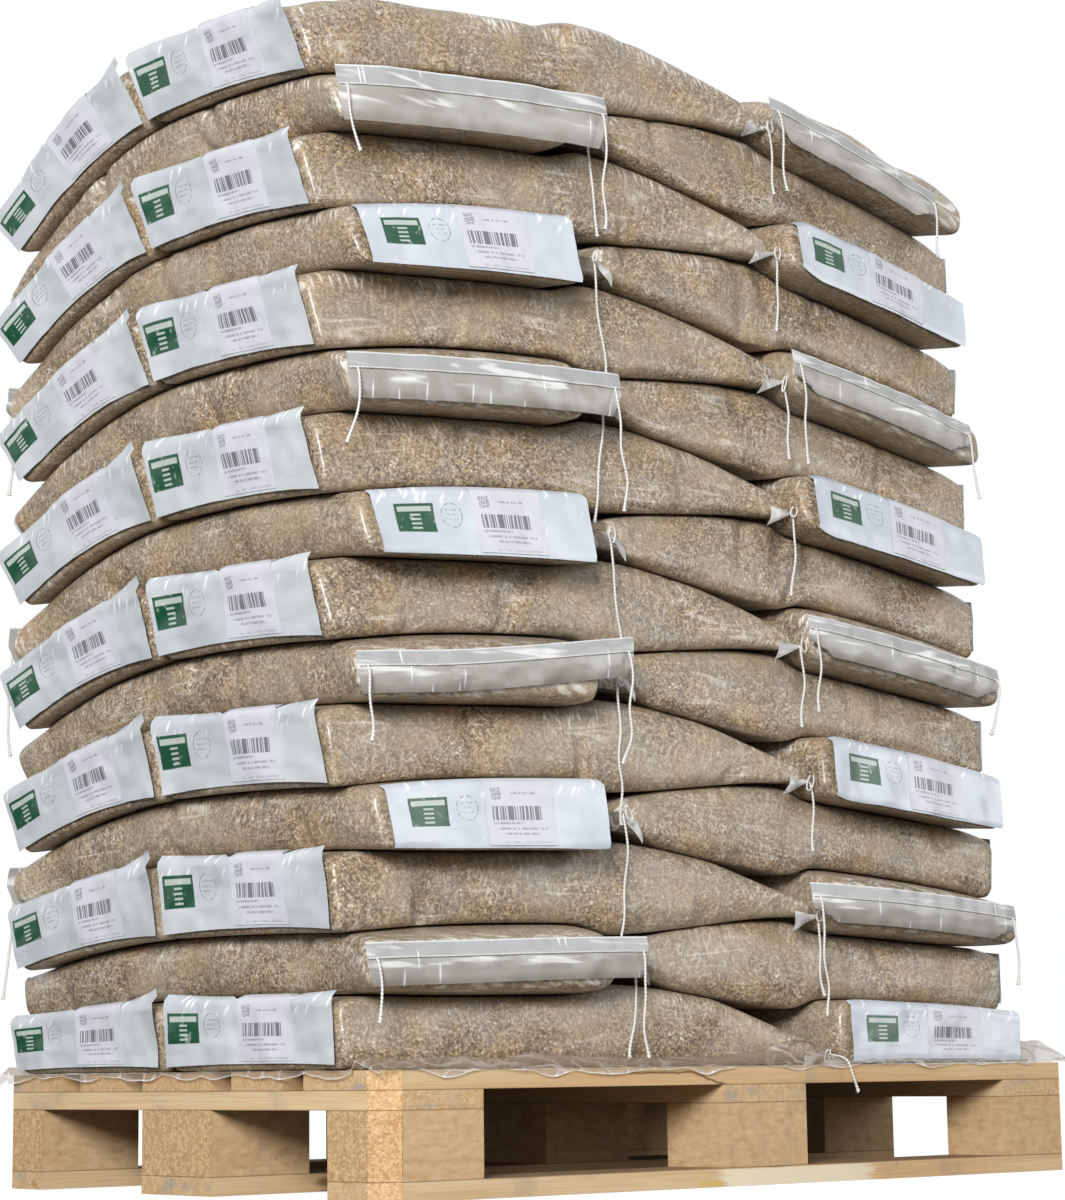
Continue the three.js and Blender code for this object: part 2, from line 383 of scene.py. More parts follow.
class Finish:
    """A material under construction. node() adds a node, and surface() sets its shader."""

    def __init__(self, name):
        self.material = bpy.data.materials.new(name)
        self.material.use_nodes = True
        self.tree = self.material.node_tree
        self.tree.nodes.clear()

    def node(self, kind, settings=None, inputs=None, output=0):
        """Adds a node: first its settings, or a ramp's stops, then its sockets by name or number."""
        made = self.tree.nodes.new(kind)
        for name, value in (settings or {}).items():
            if name == "stops":
                self.set_stops(made.color_ramp, value)
            else:
                setattr(made, name, value)
        for name, value in (inputs or {}).items():
            self.feed(made.inputs[name], value)
        return None if output is None else Wire(self, made.outputs[output])

    def feed(self, socket, value):
        if isinstance(value, Wire):
            self.tree.links.new(value.socket, socket)
        else:
            socket.default_value = value

    def set_stops(self, ramp, stops):
        while len(ramp.elements) < len(stops):
            ramp.elements.new(0.5)
        for element, (position, colour) in zip(ramp.elements, stops):
            element.position = position
            element.color = colour

    def place(self):
        return self.node("ShaderNodeTexCoord", output="Object")

    def parts(self, vector, count):
        """The first parts of a vector, each as a number."""
        return [self.node("ShaderNodeSeparateXYZ", None, {"Vector": vector}, index) for index in range(count)]

    def axes(self):
        """The place in the frame as three separate numbers."""
        return self.parts(self.place(), 3)

    def flat_map(self):
        """The piece's own UV map as two separate numbers, in metres."""
        uv = self.node("ShaderNodeUVMap", {"uv_map": "UVMap"})
        return uv, *self.parts(uv, 2)

    def own_map(self, uv):
        """The map moved by the piece's own number, so that no two pieces carry the same marks."""
        return self.node("ShaderNodeVectorMath", {"operation": "ADD"}, {0: uv, 1: self.value("own")})

    def stretch(self, vector, scale, turn=(0, 0, 0)):
        return self.node("ShaderNodeMapping", None, {"Vector": vector, "Scale": scale, "Rotation": turn})

    def noise(self, vector, scale, detail=2.0, roughness=0.5, warp=0.0):
        inputs = {"Vector": vector, "Scale": scale, "Detail": detail}
        inputs |= {"Roughness": roughness, "Distortion": warp}
        return self.node("ShaderNodeTexNoise", None, inputs)

    def streaks(self, vector, scale, detail=2.0, roughness=0.5, warp=0.0):
        """Noise drawn out along the axes whose scale is small."""
        return self.noise(self.stretch(vector, scale), 1.0, detail, roughness, warp)

    def cells(self, vector, scale, flat=False):
        """A cell pattern: the distance to the nearest cell's middle, and a random number for each cell."""
        settings = {"feature": "F1", "voronoi_dimensions": "2D" if flat else "3D"}
        distance = self.node("ShaderNodeTexVoronoi", settings, {"Vector": vector, "Scale": scale}, "Distance")
        colour = Wire(self, distance.socket.node.outputs["Color"])
        return distance, self.node("ShaderNodeSeparateColor", None, {"Color": colour}, 0)

    def dashes(self, uv, turn, scale, size):
        """One short stroke in each cell of a turned and stretched pattern, long where the scale is small."""
        turned = self.stretch(uv, (1.0, 1.0, 1.0), (0.0, 0.0, turn))
        return self.cells(self.stretch(turned, scale), 1.0, True)[0].step(size, size * 0.35)

    def value(self, name):
        return self.node("ShaderNodeAttribute", {"attribute_name": name}, output="Fac")

    def ramp(self, factor, stops):
        return self.node("ShaderNodeValToRGB", {"stops": stops}, {"Fac": factor})

    def mix(self, factor, first, second):
        return self.node("ShaderNodeMix", {"data_type": "RGBA"}, {0: factor, 6: first, 7: second}, 2)

    def bump(self, height, distance, strength):
        inputs = {"Height": height, "Distance": distance, "Strength": strength}
        return self.node("ShaderNodeBump", None, inputs)

    def ridge(self, wave, sharpness):
        """Thin lines where a wave passes its middle value, thinner as sharpness grows."""
        return (1 - abs(wave - 0.5) * sharpness).most(0.0)

    def film(self, colour, roughness, normal, alpha, gloss):
        """Ends the graph as a see-through film without a coat."""
        sockets = {"Normal": normal, "Alpha": alpha, "Specular_IOR_Level": gloss}
        return self.surface(Base_Color=colour, Roughness=roughness, **sockets)

    def surface(self, **sockets):
        """Ends the graph in a Principled shader. A socket name with spaces is written with underscores."""
        inputs = {name.replace("_", " "): value for name, value in sockets.items()}
        shader = self.node("ShaderNodeBsdfPrincipled", None, inputs)
        self.node("ShaderNodeOutputMaterial", None, {"Surface": shader}, None)
        return self.material


# %% [markdown]
# The sacks are clear film over mixed grain: rye, maize, husk and pellets a few millimetres across. A
# cell pattern gives each speck one colour of a ramp from dark husk to cream, with painted shade on the
# rims between specks. The film over it is glossy and turns milky where it stands off the grain. Where it
# is slack, short bright dashes are painted on it as highlights of its creases.

# %% Grain in clear film
GRAIN_STOPS = [
    (0.00, linear(74, 61, 50)),
    (0.14, linear(103, 88, 73)),
    (0.32, linear(130, 114, 95)),
    (0.52, linear(153, 137, 116)),
    (0.68, linear(173, 157, 135)),
    (0.78, linear(192, 178, 156)),
    (0.86, linear(186, 153, 104)),
    (0.93, linear(208, 198, 182)),
    (1.00, linear(234, 228, 216)),
]
SHADE_BETWEEN_GRAINS = linear(66, 50, 38)
MILKY = linear(178, 164, 145)
PAINTED_GLINT = linear(252, 248, 240)


def creases(finish, uv, scale, width, warp):
    """Thin lines of a given width: places where a stretched noise passes its middle value."""
    return finish.ridge(finish.streaks(uv, scale, 1.0, 0.5, warp), 1 / width)


def grain_in_film():
    """Specks by cell with painted shade round them, mottled and tinted, under a milky veil, with clusters of
    bright dashes painted on the film as highlights.

    The slow changes over a sack come as values on its own points: slack, haze, golden, greyer and
    two cluster masks that place the painted highlights.
    """
    finish = Finish("grain_in_film")
    place = finish.place()
    uv = finish.own_map(finish.flat_map()[0])
    slack = finish.value("slack")
    here = finish.value("cluster")
    there = finish.value("other_cluster")
    depth, shade = finish.cells(place, 370.0)
    mottle = finish.noise(place, 85.0, 1.0, 0.6)
    level = shade * 0.88 + (mottle - 0.5) * 0.40 + 0.06
    grain = finish.ramp(level, GRAIN_STOPS)
    # Dark rims round each speck: painted shade between the grains.
    grain = finish.mix(depth.step(0.4, 0.8) * 0.32, grain, SHADE_BETWEEN_GRAINS)
    grain = finish.mix(finish.value("golden") * 0.22, grain, linear(198, 160, 100))
    grain = finish.mix(finish.value("greyer") * 0.24, grain, linear(148, 141, 134))

    # Short bright dashes, in clusters and where the film is slack, and long thin lines: highlights painted
    # into the base colour.
    slanted = finish.dashes(uv, 0.42, (120.0, 24.0, 1.0), 0.29) * here * (0.2 + slack * 0.7)
    opposed = finish.dashes(uv, -0.30, (105.0, 30.0, 1.0), 0.26) * there * (0.15 + slack * 0.7)
    upright = finish.dashes(uv, 0.06, (125.0, 22.0, 1.0), 0.34) * slack * (slack + 0.25)
    lengthwise = creases(finish, uv, (5.0, 42.0, 1.0), 0.030, 0.5) * there
    glints = (slanted + opposed + upright + lengthwise * 0.35).least(1.0)
    veil = (slack * 0.26 + finish.value("haze") * 0.34 + 0.04).least(0.75)
    colour = finish.mix(veil, grain, MILKY)
    colour = finish.mix(glints * 0.85, colour, PAINTED_GLINT)
    wide = finish.noise(place, 30.0, 1.0, 0.5, 0.3)
    normal = finish.bump(wide * 0.7 + depth * 0.05, 0.005, 0.7)
    return finish.surface(
        Base_Color=colour,
        Roughness=(0.42 - glints * 0.24).most(0.16),
        Normal=normal,
        Specular_IOR_Level=0.45,
        Coat_Weight=0.35,
        Coat_Roughness=0.16,
    )


GRAIN_IN_FILM = grain_in_film()
print("finish made:", GRAIN_IN_FILM.name)

# %% [markdown]
# A sack on a slope leans with it. Every point of a sack goes through one function, from a place along
# and across it and a lift between the surface below (-1) and the one above (1). Skin, panel, sticker and
# flap all use it, so they stay together however the layer bends.

# %% From a sack's own coordinates to the shared frame
TILT_PLACES = [-0.35, -0.02, 0.06, 0.35]
TILT_SHIFTS = [0.009, 0.002, 0.018, 0.021]
CLEARANCE = 0.0004


def half_room(level, x, y):
    """Half the height that the layer has at a place."""
    return (surface_height(level, x, y) - surface_height(level - 1, x, y)) / 2


def flat_place(sack, distance, across):
    flat = sack["start"] + distance[..., None] * sack["along"] + across[..., None] * sack["across"]
    return flat[..., 0], flat[..., 1]


def sack_point(sack, distance, across, lift):
    """Leans the place along X by the layer's slope and to the far side along Y, and finds its height."""
    distance, across, lift = np.broadcast_arrays(distance, across, lift)
    x, y = flat_place(sack, distance, across)
    level = sack["level"]
    slope = 2 * SAG_X * sag_grown(level) * (x - SAG_MIDDLE_X)
    x = x + lift * half_room(level, x, y) * slope
    y = y + lift * np.interp(y, TILT_PLACES, TILT_SHIFTS) * min(1.0, sag_grown(level))
    room = half_room(level, x, y)
    height = surface_height(level, x, y) - room + lift * (room - CLEARANCE)
    return np.stack([x, y, height], -1)


# %% [markdown]
# A filled sack is one closed skin. Its cross-section is a flat-topped pillow: two flats that follow the
# layers' shared surfaces and two bulging sides. Carried from the labelled end to the mouth, the section
# rounds off at the label and thins toward the stitching. Dimples and lumps are added to the same grid.

# %% The section of a sack and its run from end to end
SIDE_RADIUS = 0.023
SQUARENESS = 3.2
SIDE_STEPS = 14
TOP_STEPS = 14
BOTTOM_STEPS = 8
END_RADIUS = 0.016
MOUTH_RADIUS = 0.024
BODY_ROWS = 94


def section():
    """The closed section as lists: share of the flat's half width, share of the side bulge, and lift."""
    turn = np.linspace(np.pi / 2, -np.pi / 2, SIDE_STEPS + 1)
    bulge = np.abs(np.cos(turn)) ** (2 / SQUARENESS)
    lift = np.sign(np.sin(turn)) * np.abs(np.sin(turn)) ** (2 / SQUARENESS)
    bottom = np.linspace(1, -1, BOTTOM_STEPS + 1)[1:-1]
    top = np.linspace(-1, 1, TOP_STEPS + 1)[1:-1]
    ones = np.ones(SIDE_STEPS + 1)
    core = np.concatenate([ones, bottom, -ones, top])
    bulges = np.concatenate([bulge, 0 * bottom, -bulge[::-1], 0 * top])
    lifts = np.concatenate([lift, 0 * bottom - 1, lift[::-1], 0 * top + 1])
    return core, bulges, lifts


def mouth_shape(sack):
    """How a sack ends: empty film at its mouth, the taper before it, and how it droops and widens."""
    rise = sack["level"] / LAYERS
    if not sack["paired"]:
        return {"empty": 0.0, "reach": 0.10, "left": 0.74, "power": 2.5, "droop": 0.3, "widens": 0.020}
    if sack["odd"]:
        taper = {"reach": 0.17, "left": 0.24 + 0.30 * rise, "power": 1.4 + 1.6 * rise}
        return {"empty": 0.003, **taper, "droop": 0.75, "widens": 0.020}
    return {"empty": 0.066, "reach": 0.09, "left": 0.60, "power": 2.0, "droop": -0.35, "widens": 0.0}


CORNER = np.linspace(0, np.pi / 2, 8)
CORNER_SINE = np.sin(CORNER) ** (2 / SQUARENESS)
CORNER_COSINE = np.cos(CORNER) ** (2 / SQUARENESS)


def run_of(sack):
    """Rows from label to mouth: distance, inset, share of the face, thickness, taper and closing."""
    shape = mouth_shape(sack)
    end = sack["length"] - shape["empty"]
    face = np.array([0.4, 0.75])
    body = np.linspace(END_RADIUS, end - MOUTH_RADIUS, BODY_ROWS)[1:]
    distance = np.concatenate([0 * face, END_RADIUS * (1 - CORNER_COSINE), body])
    distance = np.concatenate([distance, end - MOUTH_RADIUS * (1 - CORNER_SINE[1:]), 0 * face + end])
    inset = np.concatenate([0 * face + END_RADIUS, END_RADIUS * (1 - CORNER_SINE), 0 * body])
    inset = np.concatenate([inset, MOUTH_RADIUS * (1 - CORNER_COSINE[1:]), 0 * face + MOUTH_RADIUS])
    share = np.ones(len(distance))
    share[: len(face)] = face
    share[-len(face) :] = face[::-1]
    toward = np.clip((distance - (end - shape["reach"])) / shape["reach"], 0, 1)
    thickness = 1 - (1 - shape["left"]) * toward ** shape["power"]
    closing = np.concatenate([0 * face, 0 * CORNER, 0 * body, 1 - CORNER_COSINE[1:], 0 * face + 1])
    return distance, inset, share, thickness, toward, closing


# %% [markdown]
# Grain shifts when a sack is dropped on a stack, and the film keeps the marks: slanting dimples cross
# the sides, and the upper edge goes slack in places. The grid is moved in and out for them, and a slack
# value tells the finish where the film has come off the grain.

# %% Dimples and slack film in the skin
DIMPLE_DEPTH = 0.015
DIMPLES_PER_SACK = 5
DIMPLE_PLACES = (0.10, 0.66)
DIMPLE_SLANTS = (-0.03, 0.03)
DIMPLE_WIDTHS = (0.008, 0.014)
DIMPLE_SHARES = (0.3, 1.0)
SLOW_VALUES = [
    ("haze", 0.20, 0.25, 0.9),
    ("golden", 0.10, 0.10, 0.8),
    ("greyer", 0.14, 0.10, 0.9),
    ("cluster", 0.13, -0.40, 1.9),
    ("other_cluster", 0.11, -0.45, 1.9),
]


def dimples(sack, distance, lift):
    """Sum of narrow bell-shaped grooves. Each slants and fades from the upper or the lower edge."""
    rng = np.random.default_rng(sack["seed"])
    groove = 0 * distance
    for middle in rng.uniform(*DIMPLE_PLACES, DIMPLES_PER_SACK):
        slant = rng.uniform(*DIMPLE_SLANTS)
        width = rng.uniform(*DIMPLE_WIDTHS)
        depth = rng.uniform(*DIMPLE_SHARES)
        upper = rng.choice([-1.0, 1.0])
        away = (distance - middle - slant * lift) / width
        groove += depth * np.exp(-(away**2)) * np.clip(0.35 + 0.75 * upper * lift, 0, 1)
    return groove


def end_poles(points):
    """The middles of a grid's first and last rings."""
    return [points[0].mean(axis=0), points[-1].mean(axis=0)]


def sack_skin(sack):
    """Grid of the whole skin, its slow values, its UV map in metres and the two end poles."""
    shape = mouth_shape(sack)
    core, bulges, lifts = section()
    distance, inset, share, thickness, toward, closing = (part[:, None] for part in run_of(sack))
    half = (sack["half_width"] - inset) * share
    side = SIDE_RADIUS * share
    outer_edge = np.clip(core * sack["outer"], 0, 1) ** 3
    widened = sack["outer"] * shape["widens"] * toward**2 * outer_edge * share
    across = core * (half - side) + bulges * side + widened
    distance = distance + 0 * across
    lift = lifts + 0 * across
    room = half_room(sack["level"], *flat_place(sack, distance, across))
    at_label = distance < 0.1
    squeeze = np.where(at_label, 1 - 0.8 * inset / np.maximum(room, 0.03), thickness * (1 - 0.8 * closing))
    shoulder = 0.011 * np.clip(1 - distance / 0.07, 0, 1) ** 2 * np.clip(2 * lift - 1, 0, 1) * sack["paired"]
    low = shape["droop"] * (1 - thickness) + shoulder / room
    points = sack_point(sack, distance, across, lift * squeeze * share - low)

    on_side = np.abs(bulges) ** 1.5
    broad, small = lumps(points, 0.16, sack["seed"]), lumps(points, 0.07, sack["seed"] + 5)
    skin = on_side * (0.0022 * broad + 0.0014 * small)
    skin = skin - on_side * DIMPLE_DEPTH * dimples(sack, distance, lift)
    near_edge = np.exp(-(((lift - 0.80) / 0.30) ** 2)) * on_side**0.5
    patchy = np.clip(0.4 + 1.1 * lumps(points, 0.22, sack["seed"] + 9), 0, 1)
    skin = skin + near_edge * patchy * 0.0010 * lumps(points, 0.03, sack["seed"] + 11)
    points = points + (np.sign(bulges) * skin)[..., None] * sack["across"]
    top_lumps = (sack["level"] == LAYERS) * (lift > 0.98) * share * 0.004
    points = points + (top_lumps * lumps(points, 0.13, sack["seed"] + 2))[..., None] * UP
    end_lumps = (share < 1) * 0.001 * lumps(points, 0.08, sack["seed"] + 7)
    points = points + end_lumps[..., None] * sack["along"]

    pressed_flat = 0.35 + 0.65 * sack["level"] / LAYERS
    values = {"slack": np.clip(0.95 * near_edge * patchy * pressed_flat + 0.6 * toward**2 + 0.05, 0, 1)}
    for shift, (label, wavelength, base, gain) in enumerate(SLOW_VALUES):
        slow = lumps(points * [1.0, 1.0, 1.6], wavelength, sack["seed"] + 30 + shift)
        values[label] = np.clip(base + gain * slow, 0, 1)
    girth_steps = np.hypot(np.diff(core * 0.15 + bulges * SIDE_RADIUS), np.diff(lifts * 0.044))
    girth = np.concatenate([[0], np.cumsum(girth_steps)])
    uv = np.stack([distance, girth + 0 * distance], -1)
    return points, values, uv, end_poles(points)


def make_sack(sack):
    points, values, uv, poles = sack_skin(sack)
    mesh = surface_mesh("sack_" + sack["name"], points, True, poles, uv, values)
    piece = add_piece("sack_" + sack["name"], mesh, GRAIN_IN_FILM)
    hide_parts(sack["node"])
    return len(mesh.polygons)


counts = [make_sack(sack) for sack in SACKS]
print(len(counts), "filled sacks,", sum(counts), "faces")

# %% [markdown]
# The labelled end is closed with a separate white film panel, printed with a green block and carrying a
# paper sticker with bars and small print. The print here is generic: a green block, plain bars and
# dashes. Rectangles with soft edges and a ring, in metres on the panel's own map, say where it goes.

# %% Printed panel and sticker finishes
PANEL_WIDTH = 0.332
PANEL_HEIGHT = 0.090
STICKER_FROM = 0.146
STICKER_WIDTH = 0.106


def box_mask(across, up, left, right, bottom, top, soft=0.0006):
    """1 inside a rectangle and 0 outside, as the product of four soft steps."""
    sides = across.step(left - soft, left + soft) * across.step(right + soft, right - soft)
    return sides * up.step(bottom - soft, bottom + soft) * up.step(top + soft, top - soft)


def ring_mask(across, up, middle, height, radius):
    """A thin ring round a place: 1 where the distance from it is close to the radius."""
    distance = ((across - middle) ** 2 + (up - height) ** 2) ** 0.5
    return abs(distance - radius).step(0.0011, 0.0005)


def printed_film(name, shift, dull, bright):
    """White film with a green block and a ring of grey dashes, both shifted sideways, and bright dashes
    painted on as highlights.
    """
    finish = Finish(name)
    uv, across, up = finish.flat_map()
    place = finish.place()
    block = box_mask(across, up, 0.030 + shift, 0.089 + shift, 0.029, 0.068)
    band = box_mask(across, up, 0.034 + shift, 0.085 + shift, 0.057, 0.064)
    pills = 0.0
    for line in (0.033, 0.039, 0.045, 0.051):
        pills = box_mask(across, up, 0.052 + shift, 0.067 + shift, line, line + 0.0026) + pills
    worn = finish.noise(place, 90.0, 2.0).step(0.62, 0.70)
    dashed = finish.streaks(uv, (260.0, 260.0, 1.0), 1.0).step(0.42, 0.52)
    ring = ring_mask(across, up, 0.117 + shift, 0.052, 0.016)
    for line in (0.046, 0.052, 0.058):
        ring = box_mask(across, up, 0.107 + shift, 0.127 + shift, line, line + 0.0022) * 0.7 + ring
    cloudy = finish.noise(place, 12.0, 2.0)
    film = finish.mix(cloudy.step(0.35, 0.7), dull, bright)
    green = finish.mix(finish.noise(place, 60.0), linear(8, 68, 45), linear(16, 86, 58))
    colour = finish.mix(block, film, green)
    bare = ((band + pills) * 0.8 + worn * block * 0.35).least(0.9)
    colour = finish.mix(bare, colour, linear(206, 216, 212))
    colour = finish.mix(ring * dashed * 0.7, colour, linear(104, 116, 114))
    # Bright dashes painted into the colour as highlights: most sit near the top edge, and none lie on the
    # green block.
    upper = up.step(0.050, 0.076)
    marks = finish.own_map(uv)
    short = finish.dashes(marks, 0.62, (75.0, 20.0, 1.0), 0.22) * upper * upper
    long = finish.dashes(marks, 0.55, (30.0, 5.5, 1.0), 0.050) * (upper * 0.5 + 0.3)
    glints = (short + long).least(1.0) * (1 - block)
    colour = finish.mix(glints * 0.85, colour, linear(253, 254, 255))
    wrinkle = finish.streaks(uv, (11.0, 26.0, 1.0), 1.0, 0.5, 0.5)
    normal = finish.bump(wrinkle, 0.005, 0.7)
    coat = {"Coat_Weight": 0.35, "Coat_Roughness": 0.10}
    return finish.surface(Base_Color=colour, Roughness=0.30, Normal=normal, **coat)


def sticker_paper():
    """Faintly lilac paper with a block of upright bars, a small square patch and lines of grey dashes."""
    finish = Finish("sticker_paper")
    uv, across, up = finish.flat_map()
    bars = finish.streaks(uv, (330.0, 0.0, 1.0), 0.0).step(0.47, 0.49)
    printed = bars * box_mask(across, up, 0.010, 0.086, 0.036, 0.054)
    check = finish.streaks(uv, (520.0, 520.0, 1.0), 0.0).step(0.45, 0.5)
    printed = printed + check * box_mask(across, up, 0.010, 0.025, 0.062, 0.078) * 0.8
    letters = finish.streaks(uv, (420.0, 60.0, 1.0), 1.0).step(0.40, 0.5)
    for left, right, line in (
        (0.040, 0.078, 0.069),
        (0.010, 0.054, 0.0305),
        (0.014, 0.092, 0.0235),
        (0.026, 0.080, 0.017),
    ):
        printed = printed + letters * box_mask(across, up, left, right, line, line + 0.0028) * 0.6
    printed = printed + letters * box_mask(across, up, 0.022, 0.096, 0.006, 0.0085) * 0.35
    paper = finish.mix(finish.noise(uv, 40.0), linear(209, 210, 219), linear(218, 218, 227))
    over = up.step(0.0905, 0.0925)
    stripes = finish.streaks(uv, (4.0, 520.0, 1.0), 0.0).step(0.5, 0.56)
    printed = printed + over * stripes * 0.45
    colour = finish.mix((printed * 0.8).least(1.0), paper, linear(74, 72, 82))
    crumple = finish.streaks(finish.own_map(uv), (24.0, 40.0, 1.0), 1.0)
    normal = finish.bump(crumple, 0.003, 0.5)
    coat = {"Coat_Weight": 0.2, "Coat_Roughness": 0.16}
    return finish.surface(Base_Color=colour, Roughness=0.36, Normal=normal, **coat)


# The two panel films differ in where the print sits. The wrapped one is also darker and greyer, which is
# painted shade.
PANEL_WRAPPED = printed_film("printed_film_wrapped", -0.023, linear(194, 200, 206), linear(210, 215, 219))
PANEL_CENTRED = printed_film("printed_film_centred", 0.0, linear(200, 208, 219), linear(214, 221, 230))
STICKER_PAPER = sticker_paper()
print("finish made:", PANEL_WRAPPED.name, PANEL_CENTRED.name, STICKER_PAPER.name)

# %% [markdown]
# The panel is stiff film that spans the whole end, so it stays flatter than the sack behind it. At the
# left end and on the crosswise sacks its corners stand out, and at the right end it hugs the sack. The
# sticker follows the same surface a millimetre further out. On the lengthwise sacks its upper end is
# folded back over the sack's shoulder and pulls the panel's edge in.

# %% The surface of the labelled end
FILM_THICK = 0.0006
PAIRED_STANDS_OUT = 0.0042
CROSS_STANDS_OUT = 0.0056
PAIR_FOOT = -0.82
CROSS_FOOT = -0.94
PANEL_TOP = 1.0
SHOULDER_INSET = END_RADIUS * (1 - CORNER_SINE)
SHOULDER_BACK = END_RADIUS * (1 - CORNER_COSINE)


def end_surface(sack, offset, up, proud):
    """Points of the labelled end: offset runs across, up from 0 at the foot to 1 at the top and over it.

    The film stands a few millimetres in front of the sack's rounded end, and more at its free corners. Both
    edges' setbacks are read off the same rounded corner as the skin's. Unless the panel hugs the sack, their
    root sum of squares is shortened, so the film is flatter than the sack.
    """
    room = half_room(sack["level"], *flat_place(sack, 0 * offset + 0.02, offset))
    foot = PAIR_FOOT if sack["paired"] else CROSS_FOOT
    corner = np.clip((np.abs(offset) / (PANEL_WIDTH / 2) - 0.30) / 0.70, 0, 1) ** 1.5
    on_face = np.clip(up, 0, 1)
    inner = np.clip(-offset * sack["outer"] / (PANEL_WIDTH / 2), 0, 1)
    leads = sack["paired"] and sack["odd"]
    hugs = sack["paired"] and not leads
    on_far_sack = sack["start"][1] > 0.1
    peak = -0.14 if hugs else 0.06 + (0.06 + 0.20 * inner * on_far_sack) * on_face**3 * leads
    spread = peak * corner * (2 * on_face - 1) * (1 if sack["paired"] else 0.4)
    lift = foot + (PANEL_TOP - foot) * on_face + spread
    if sack["paired"]:
        for edge in (STICKER_FROM, STICKER_FROM + STICKER_WIDTH):
            pulled = np.exp(-(((offset - (PANEL_WIDTH / 2 - edge)) / 0.009) ** 2))
            lift = lift - 0.09 * pulled * on_face**4
    below_edge = np.clip(room * (1 - np.abs(lift)) / 0.8, 0, None)
    inside_side = sack["half_width"] - np.abs(offset)
    back_up = np.interp(below_edge, SHOULDER_INSET[::-1], SHOULDER_BACK[::-1])
    back_side = np.interp(inside_side, SHOULDER_INSET[::-1], SHOULDER_BACK[::-1])
    at_corners = 0.0 if hugs else 0.004 + 0.03 * (peak - 0.06)
    stands_out = (PAIRED_STANDS_OUT if sack["paired"] else CROSS_STANDS_OUT) + at_corners * corner**2
    distance = (1.0 if hugs else 0.6) * np.hypot(back_up, back_side) - stands_out
    over = np.clip(up - 1, 0, None) * 0.045
    skin_lift = 1 - 0.8 * np.interp(distance + over, SHOULDER_BACK, SHOULDER_INSET) / room
    lift = np.where(up > 1, np.maximum(lift, skin_lift) + 0.02, lift)
    points = sack_point(sack, distance + over, offset, lift)
    ripple = crumples(points, sack["seed"] + 21, (0.0011, 0.085), (0.0005, 0.03))
    outward = (ripple * (up <= 1) - proud)[..., None] * sack["along"]
    return points + outward + (0.8 * proud * (up > 1))[..., None] * UP


def end_sheet(name, sack, left, right, low, high, steps, proud, material):
    """A film or paper patch on the labelled end between two places across and two heights."""
    across = np.linspace(left, right, steps[0])
    up = np.linspace(low, high, steps[1])
    across, up = np.meshgrid(across, up)
    scale = 2 * sack["half_width"] / LONG_WIDTH if sack["paired"] else 1.0
    points = end_surface(sack, (PANEL_WIDTH / 2 - across) * scale, up, proud)
    uv = np.stack([across - (left if proud > 0.0005 else 0.0), up * PANEL_HEIGHT], -1)
    mesh = surface_mesh(name, points, uv=uv)
    solidify(add_piece(name, mesh, material), FILM_THICK / 2)


def label_sack(sack):
    film = PANEL_WRAPPED if sack["paired"] else PANEL_CENTRED
    end_sheet("panel_" + sack["name"], sack, 0.0, PANEL_WIDTH, 0.0, 1.0, (46, 15), 0.0, film)
    shift = np.random.default_rng(sack["seed"] + 40).uniform(-0.004, 0.004)
    left = STICKER_FROM + shift
    top = 1.3 if sack["paired"] else 1.0
    right = left + STICKER_WIDTH
    end_sheet("sticker_" + sack["name"], sack, left, right, 0.04, top, (16, 20), 0.0009, STICKER_PAPER)


for sack in SACKS:
    label_sack(sack)
print(len(SACKS), "printed panels, each with a sticker")

# %% [markdown]
# The other end of each sack is gathered flat, sewn with one white thread and left as a flap of clear
# film. On the crosswise sacks this flap stands up against the end of the sack and is wider than it,
# because a flattened tube is wider than a full one. The hem above the stitching is cooler in colour.

# %% Flap film and thread finishes
FLAP_HEIGHT = 0.049
FLAP_HALF_WIDTH = 0.215
STITCH_SHARE = 0.64
NECK_WIDENS = 0.026


def flap_film():
    """Milky clear film: pale with a painted white sheen, painted bright fold lines and a painted bright cut
    edge, and cooler in the hem above the stitching.

    The marks are laid out on the place turned so that its height is the pattern's second number.
    """
    finish = Finish("flap_film")
    up = finish.flat_map()[2]
    place = finish.place()
    hem = up.step(STITCH_SHARE - 0.01, STITCH_SHARE + 0.01)
    cloudy = finish.noise(finish.stretch(place, (0.7, 0.7, 1.6)), 20.0, 3.0)
    lower = finish.mix(cloudy.step(0.3, 0.72), linear(176, 172, 165), linear(203, 201, 196))
    lower = finish.mix(up.step(0.24, 0.0) * 0.4, lower, linear(150, 143, 132))
    colour = finish.mix(hem, lower, linear(184, 186, 186))
    # The sheen below the stitching, the fold lines and the cut edge are highlights painted into the colour.
    # They also make the film less see-through.
    standing = finish.stretch(place, (1.0, 1.0, 1.0), (math.pi / 2, 0.0, 0.0))
    sheen = finish.streaks(standing, (9.0, 75.0, 1.0), 2.0, 0.5, 0.3).step(0.55, 0.68)
    sheen = sheen * up.step(0.26, 0.44) * up.step(0.99, 0.85)
    fold_highlights = finish.dashes(standing, 0.10, (34.0, 4.6, 1.0), 0.070)
    glints = (sheen * 0.75 + fold_highlights * 0.8 + up.step(0.955, 0.985) * 0.7).least(1.0)
    colour = finish.mix(glints * 0.85, colour, linear(250, 251, 252))
    wave = finish.streaks(standing, (30.0, 24.0, 1.0), 2.0, 0.5, 0.7)
    normal = finish.bump(wave * 0.6 + cloudy * 0.4, 0.0025, 0.5)
    alpha = (0.78 + hem * 0.08 + glints * 0.3 - up.step(0.24, 0.0) * 0.2).least(1.0)
    return finish.film(colour, 0.2, normal, alpha, 0.6)


